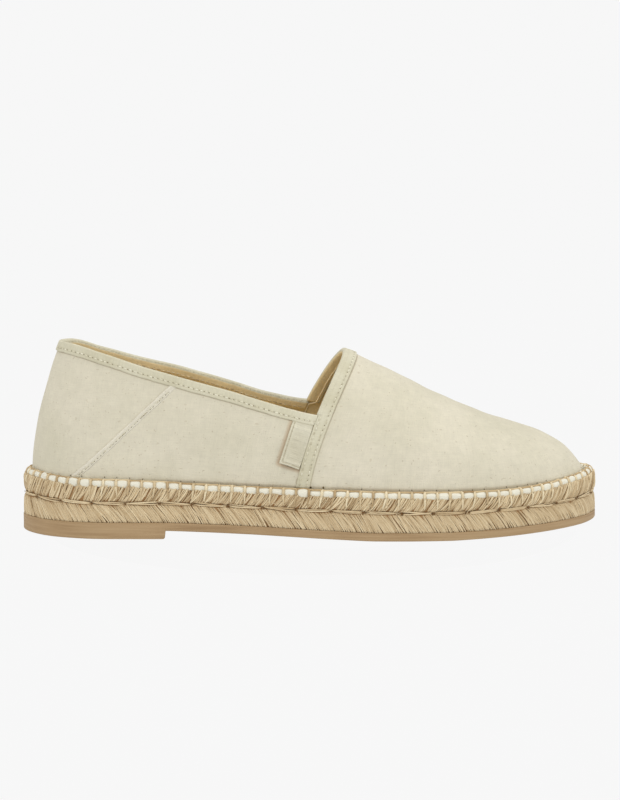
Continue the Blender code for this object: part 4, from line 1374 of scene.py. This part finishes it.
def build_groove_hollow_shade(finish):
    """Dark discs of painted shade in the hollows where the lobes meet along the groove."""
    count = 2 * LOBES
    far = np.repeat(np.arange(LOBES), 2) * LOBE_STEP + shake(0.0006, count)
    share = GROOVE - 0.015 + shake(0.016, count)
    points = ring_point(far, 0.0007, lambda x: jute_height(x, share))
    size = 0.00052 * (1 + shake(0.22, count))
    discs("groove_hollow_shade", points, ring_out(far), size, finish)


def build_stray_fibres(finish):
    """Loose hairs of jute lying over the plait."""
    count = 150
    t = np.linspace(0, 1, 7)
    arch = np.sin(np.pi * t)
    start = RANDOM.random((count, 1)) * RING_LENGTH
    share = 0.08 + RANDOM.random((count, 1)) * 0.8
    run = shake(0.0038, (count, 1))
    climb = shake(0.16, (count, 1))
    far = start + run * t + shake(0.0006, (count, 1)) * arch
    level = np.clip(share + climb * t, 0.04, 0.96)
    inset = 0.0004 + 0.0012 * abs(2 * t - 1) ** 4 - 0.0003 * RANDOM.random((count, 1)) * arch
    paths = ring_point(far, inset, lambda x: jute_height(x, level))
    tone_and_shade = lambda: 0.6 + 0.4 * RANDOM.random((count, 1))
    tube_piece("stray_fibres", paths, ring_out(far), 0.00009, 5, tone_and_shade, finish)


def build_outsole(rubber):
    """The moulded sheet and heel block, with eased edges and a plain underside."""
    breast, eased = HEEL_X + HEEL_BLOCK_LENGTH, 0.0011
    x = HEEL_X + (1 - np.cos(np.linspace(0, np.pi, 151))) / 2 * SOLE_LENGTH
    x = np.sort(np.append(x, breast + np.array([-0.0016, -0.001, -0.0005, -0.0002, 0, GAP, 0.0008])))
    ways = {side: way_at(side, x) for side in (OUTER, INNER)}

    def ground(at):
        past = np.clip(at - breast + eased, 0, eased)
        block = eased - np.sqrt(np.clip(eased**2 - past**2, 0, None))
        return np.where(at > breast + GAP / 2, underside(at), block)

    def top(at):
        return underside(at) + OUTSOLE_THICKNESS

    def between(at, share):
        low = ground(at)
        return low + EDGE_ROUNDING + share * (top(at) - 0.0005 - low - EDGE_ROUNDING)

    rows = [(0.0006, top), (0.0002, lambda at: top(at) - 0.00012), (0.0, lambda at: top(at) - 0.0005)]
    rows += [(0.00004, lambda at, s=share: between(at, s)) for share in (0.75, 0.5, 0.25)]
    for angle in np.radians((0, 22, 45, 68, 90)):
        up = EDGE_ROUNDING * (1 - np.sin(angle))
        rows.append((EDGE_ROUNDING * (1 - np.cos(angle)), lambda at, u=up: ground(at) + u))
    layer("outsole_rubber_sheet", ways, rows, rubber, ["outsole"], 40)


def room_inside(side, way):
    """How far in the sock lining has to stay to clear the upper's inner face."""
    rises = np.linspace(0, 0.25, 51)
    ways = np.full(rises.shape, way)
    edge = side_line(side, way)
    inward = unit(side_line(side, way, 0.001) - edge)
    inner = last_point(side, ways, rises) + last_frame(side, ways, rises)[0] * (-UPPER_WALL - GAP)
    under = inner[:, 2] < jute_top(inner[:, 0]) + INSOLE_THICKNESS + 3 * GAP
    return ((inner[under, :2] - edge) @ inward).max()


def build_insole(lining):
    """The sock lining, with a soft edge."""
    ways = even_ways(90)
    coarse = np.linspace(0, 1, 31)
    room = {}
    for side in (OUTER, INNER):
        found = [room_inside(side, way) for way in coarse]
        room[side] = np.interp(ways[side], coarse, found)
    rows = []
    for more, height in (
        (0.0, GAP), (0.0, INSOLE_THICKNESS * 0.7), (0.0003, INSOLE_THICKNESS + GAP * 0.6),
        (0.0010, INSOLE_THICKNESS + GAP), (0.004, INSOLE_THICKNESS), (0.012, INSOLE_THICKNESS * 0.9),
    ):
        rows.append(({side: room[side] + more for side in room}, lambda x, h=height: jute_top(x) + h))
    layer("sock_lining", ways, rows, lining, ["insole"])


def build_edge_holes():
    """The needle's holes in the canvas above each edge stitch."""
    found, normals = [], []
    far = np.arange(STITCHES) * STITCH_STEP
    far = far[RANDOM.random(STITCHES) < 0.5]
    rises = np.linspace(0, 0.4, 161)
    for side in (OUTER, INNER):
        ways = np.linspace(0, 1, 2001)[::-side]
        mine = far[(far < side_length(OUTER)) == (side == OUTER)]
        for way in np.interp(mine, ring_far(side, ways), ways):
            rib = last_point(side, np.full_like(rises, way), rises)
            over = rib[:, 2] - jute_top(rib[:, 0]) - edge_lift(rib[:, 0])
            rise = rises[np.argmax(over > CORD_DIAMETER - 0.0007 + RANDOM.random() * 0.0004)]
            found.append(canvas_point(side, way, rise, 0.00002))
            normals.append(skin_frame(side, way, rise)[0])
    return np.array(found), np.array(normals)


def add_holes(tapes, edge, hole):
    """Dark discs of painted shade at the needle holes of the tapes' rows, and of the canvas above the edge
    stitches.
    """
    points, normals = (np.concatenate([one[k] for one in tapes]) for k in (0, 1))
    sizes = np.repeat([0.00042, 0.00042, 0.00032], [len(one[0]) for one in tapes])
    discs("tape_needle_hole_shade", points, normals, sizes, hole)
    points, normals = edge
    sizes = np.full(len(points), 0.00034)
    for x in TAPE_FOOT_HOLES:
        sizes[np.argmin(abs(points[:, 0] - x) + (points[:, 1] > 0))] = 0.00062
    discs("edge_needle_hole_shade", points, normals, sizes, hole)


def build_floor():
    """A wide pale dish: flat under the shoe and turned up all round, far behind the camera."""
    rings, spokes = 40, 96
    share = np.linspace(0, 1, rings)
    points = [(0, 0, 0)]
    for r, z in zip(FLOOR_REACH * share[1:], FLOOR_RISE * ease(share, 0.55, 1.0)[1:]):
        points += [(r * np.cos(a), r * np.sin(a), z) for a in circle(spokes)]
    faces = [(0, 1 + k, 1 + (k + 1) % spokes) for k in range(spokes)]
    faces += grid_faces(rings - 1, spokes, start=1, around=True)
    mesh = bpy.data.meshes.new("studio_floor")
    mesh.from_pydata(points, [], faces)
    mesh.shade_smooth()
    made = Finish("studio_paper", 1.0, Specular_IOR_Level=0.0)
    grain = made.spread(made.noise(made.place(), 300.0, 2.0), 0.3, 0.7, 0.995, 1.005)
    made.colour(made.dim(tint(240, 240, 240), grain))
    glow = made.node("Emission", Color=(1, 1, 1, 1), Strength=FLOOR_GLOW)
    mixed = made.node("MixShader", _0=FLOOR_SHARE, _1=glow.outputs[0], _2=made.shader.outputs[0])
    made.feed(made.tree.nodes["Material Output"].inputs["Surface"], mixed.outputs[0])
    mesh.materials.append(made.material)
    floor = add_object("studio_floor", mesh)


def put_in_scene(name, data, place, back):
    """A light or the camera at its place, with its back turned the given way."""
    placed = add_object(name, data)
    placed.location = place
    placed.rotation_mode = "QUATERNION"
    placed.rotation_quaternion = back.to_track_quat("Z", "Y")
    return placed


def add_light(name, place, size, power):
    light = bpy.data.lights.new(name, "AREA")
    light.shape, light.size, light.energy = "DISK", size, power
    put_in_scene(name, light, Vector(place), Vector(place) - Vector(LIGHT_AIM))


def build_studio():
    world = bpy.data.worlds.new("studio_air")
    world.use_nodes = True
    air = world.node_tree.nodes["Background"].inputs
    air["Color"].default_value = (1.0, 0.995, 0.985, 1)
    air["Strength"].default_value = 0.50
    bpy.context.scene.world = world
    bpy.context.scene.view_settings.view_transform = "Standard"
    for light in LIGHTS:
        add_light(*light)


def build_camera():
    lens = bpy.data.cameras.new("camera")
    lens.sensor_width = 36.0
    lens.lens = FOCAL_PIXELS / PICTURE_HIGH * lens.sensor_width
    lens.clip_start, lens.clip_end = 0.05, 30
    lift, turn = np.radians((CAMERA_LIFT, CAMERA_TURN))
    back = Vector((np.sin(turn) * np.cos(lift), -np.cos(turn) * np.cos(lift), np.sin(lift)))
    place = Vector(CAMERA_AIM) + back * CAMERA_FAR
    bpy.context.scene.camera = put_in_scene("camera", lens, place, back)


def main():
    build_camera()
    build_studio()
    build_floor()
    canvas = canvas_finish("canvas", (207, 201, 179), (218, 211, 191))
    lining = lining_finish()
    tape = tape_finish("tape", (200, 194, 168), (212, 207, 184))
    # A lighter copy of the canvas for the heel panel's folded edge: painted highlight on the ridge
    fold = canvas_finish("canvas_fold_painted_highlight", (214, 208, 189), (224, 218, 201))
    pale, gold, hem, tan, rail_shaded, white, jute = (fibre_finish(*row) for row in FIBRES)
    core = plain_finish("jute_shadow", 160, 124, 84)
    # Dark colour of the discs that paint the shade in the needle holes
    hole = plain_finish("needle_hole_shade", 108, 94, 66)
    build_upper(canvas, lining)
    tapes = [
        build_collar_tape(tape, lining, pale, gold),
        build_throat_tape(tape, lining, pale, hem),
        build_heel_seams(fold, pale),
    ]
    edge = build_edge_holes()
    build_side_tab(tape_finish("tab_cloth", (207, 201, 178), (216, 211, 190)))
    build_cord(white)
    build_edge_stitches(tan, rail_shaded)
    build_jute(jute, core)
    build_groove_hollow_shade(plain_finish("jute_hollow_shade", 118, 86, 52))
    build_stray_fibres(jute)
    build_outsole(rubber_finish())
    build_insole(lining)
    add_holes(tapes, edge, hole)


main()
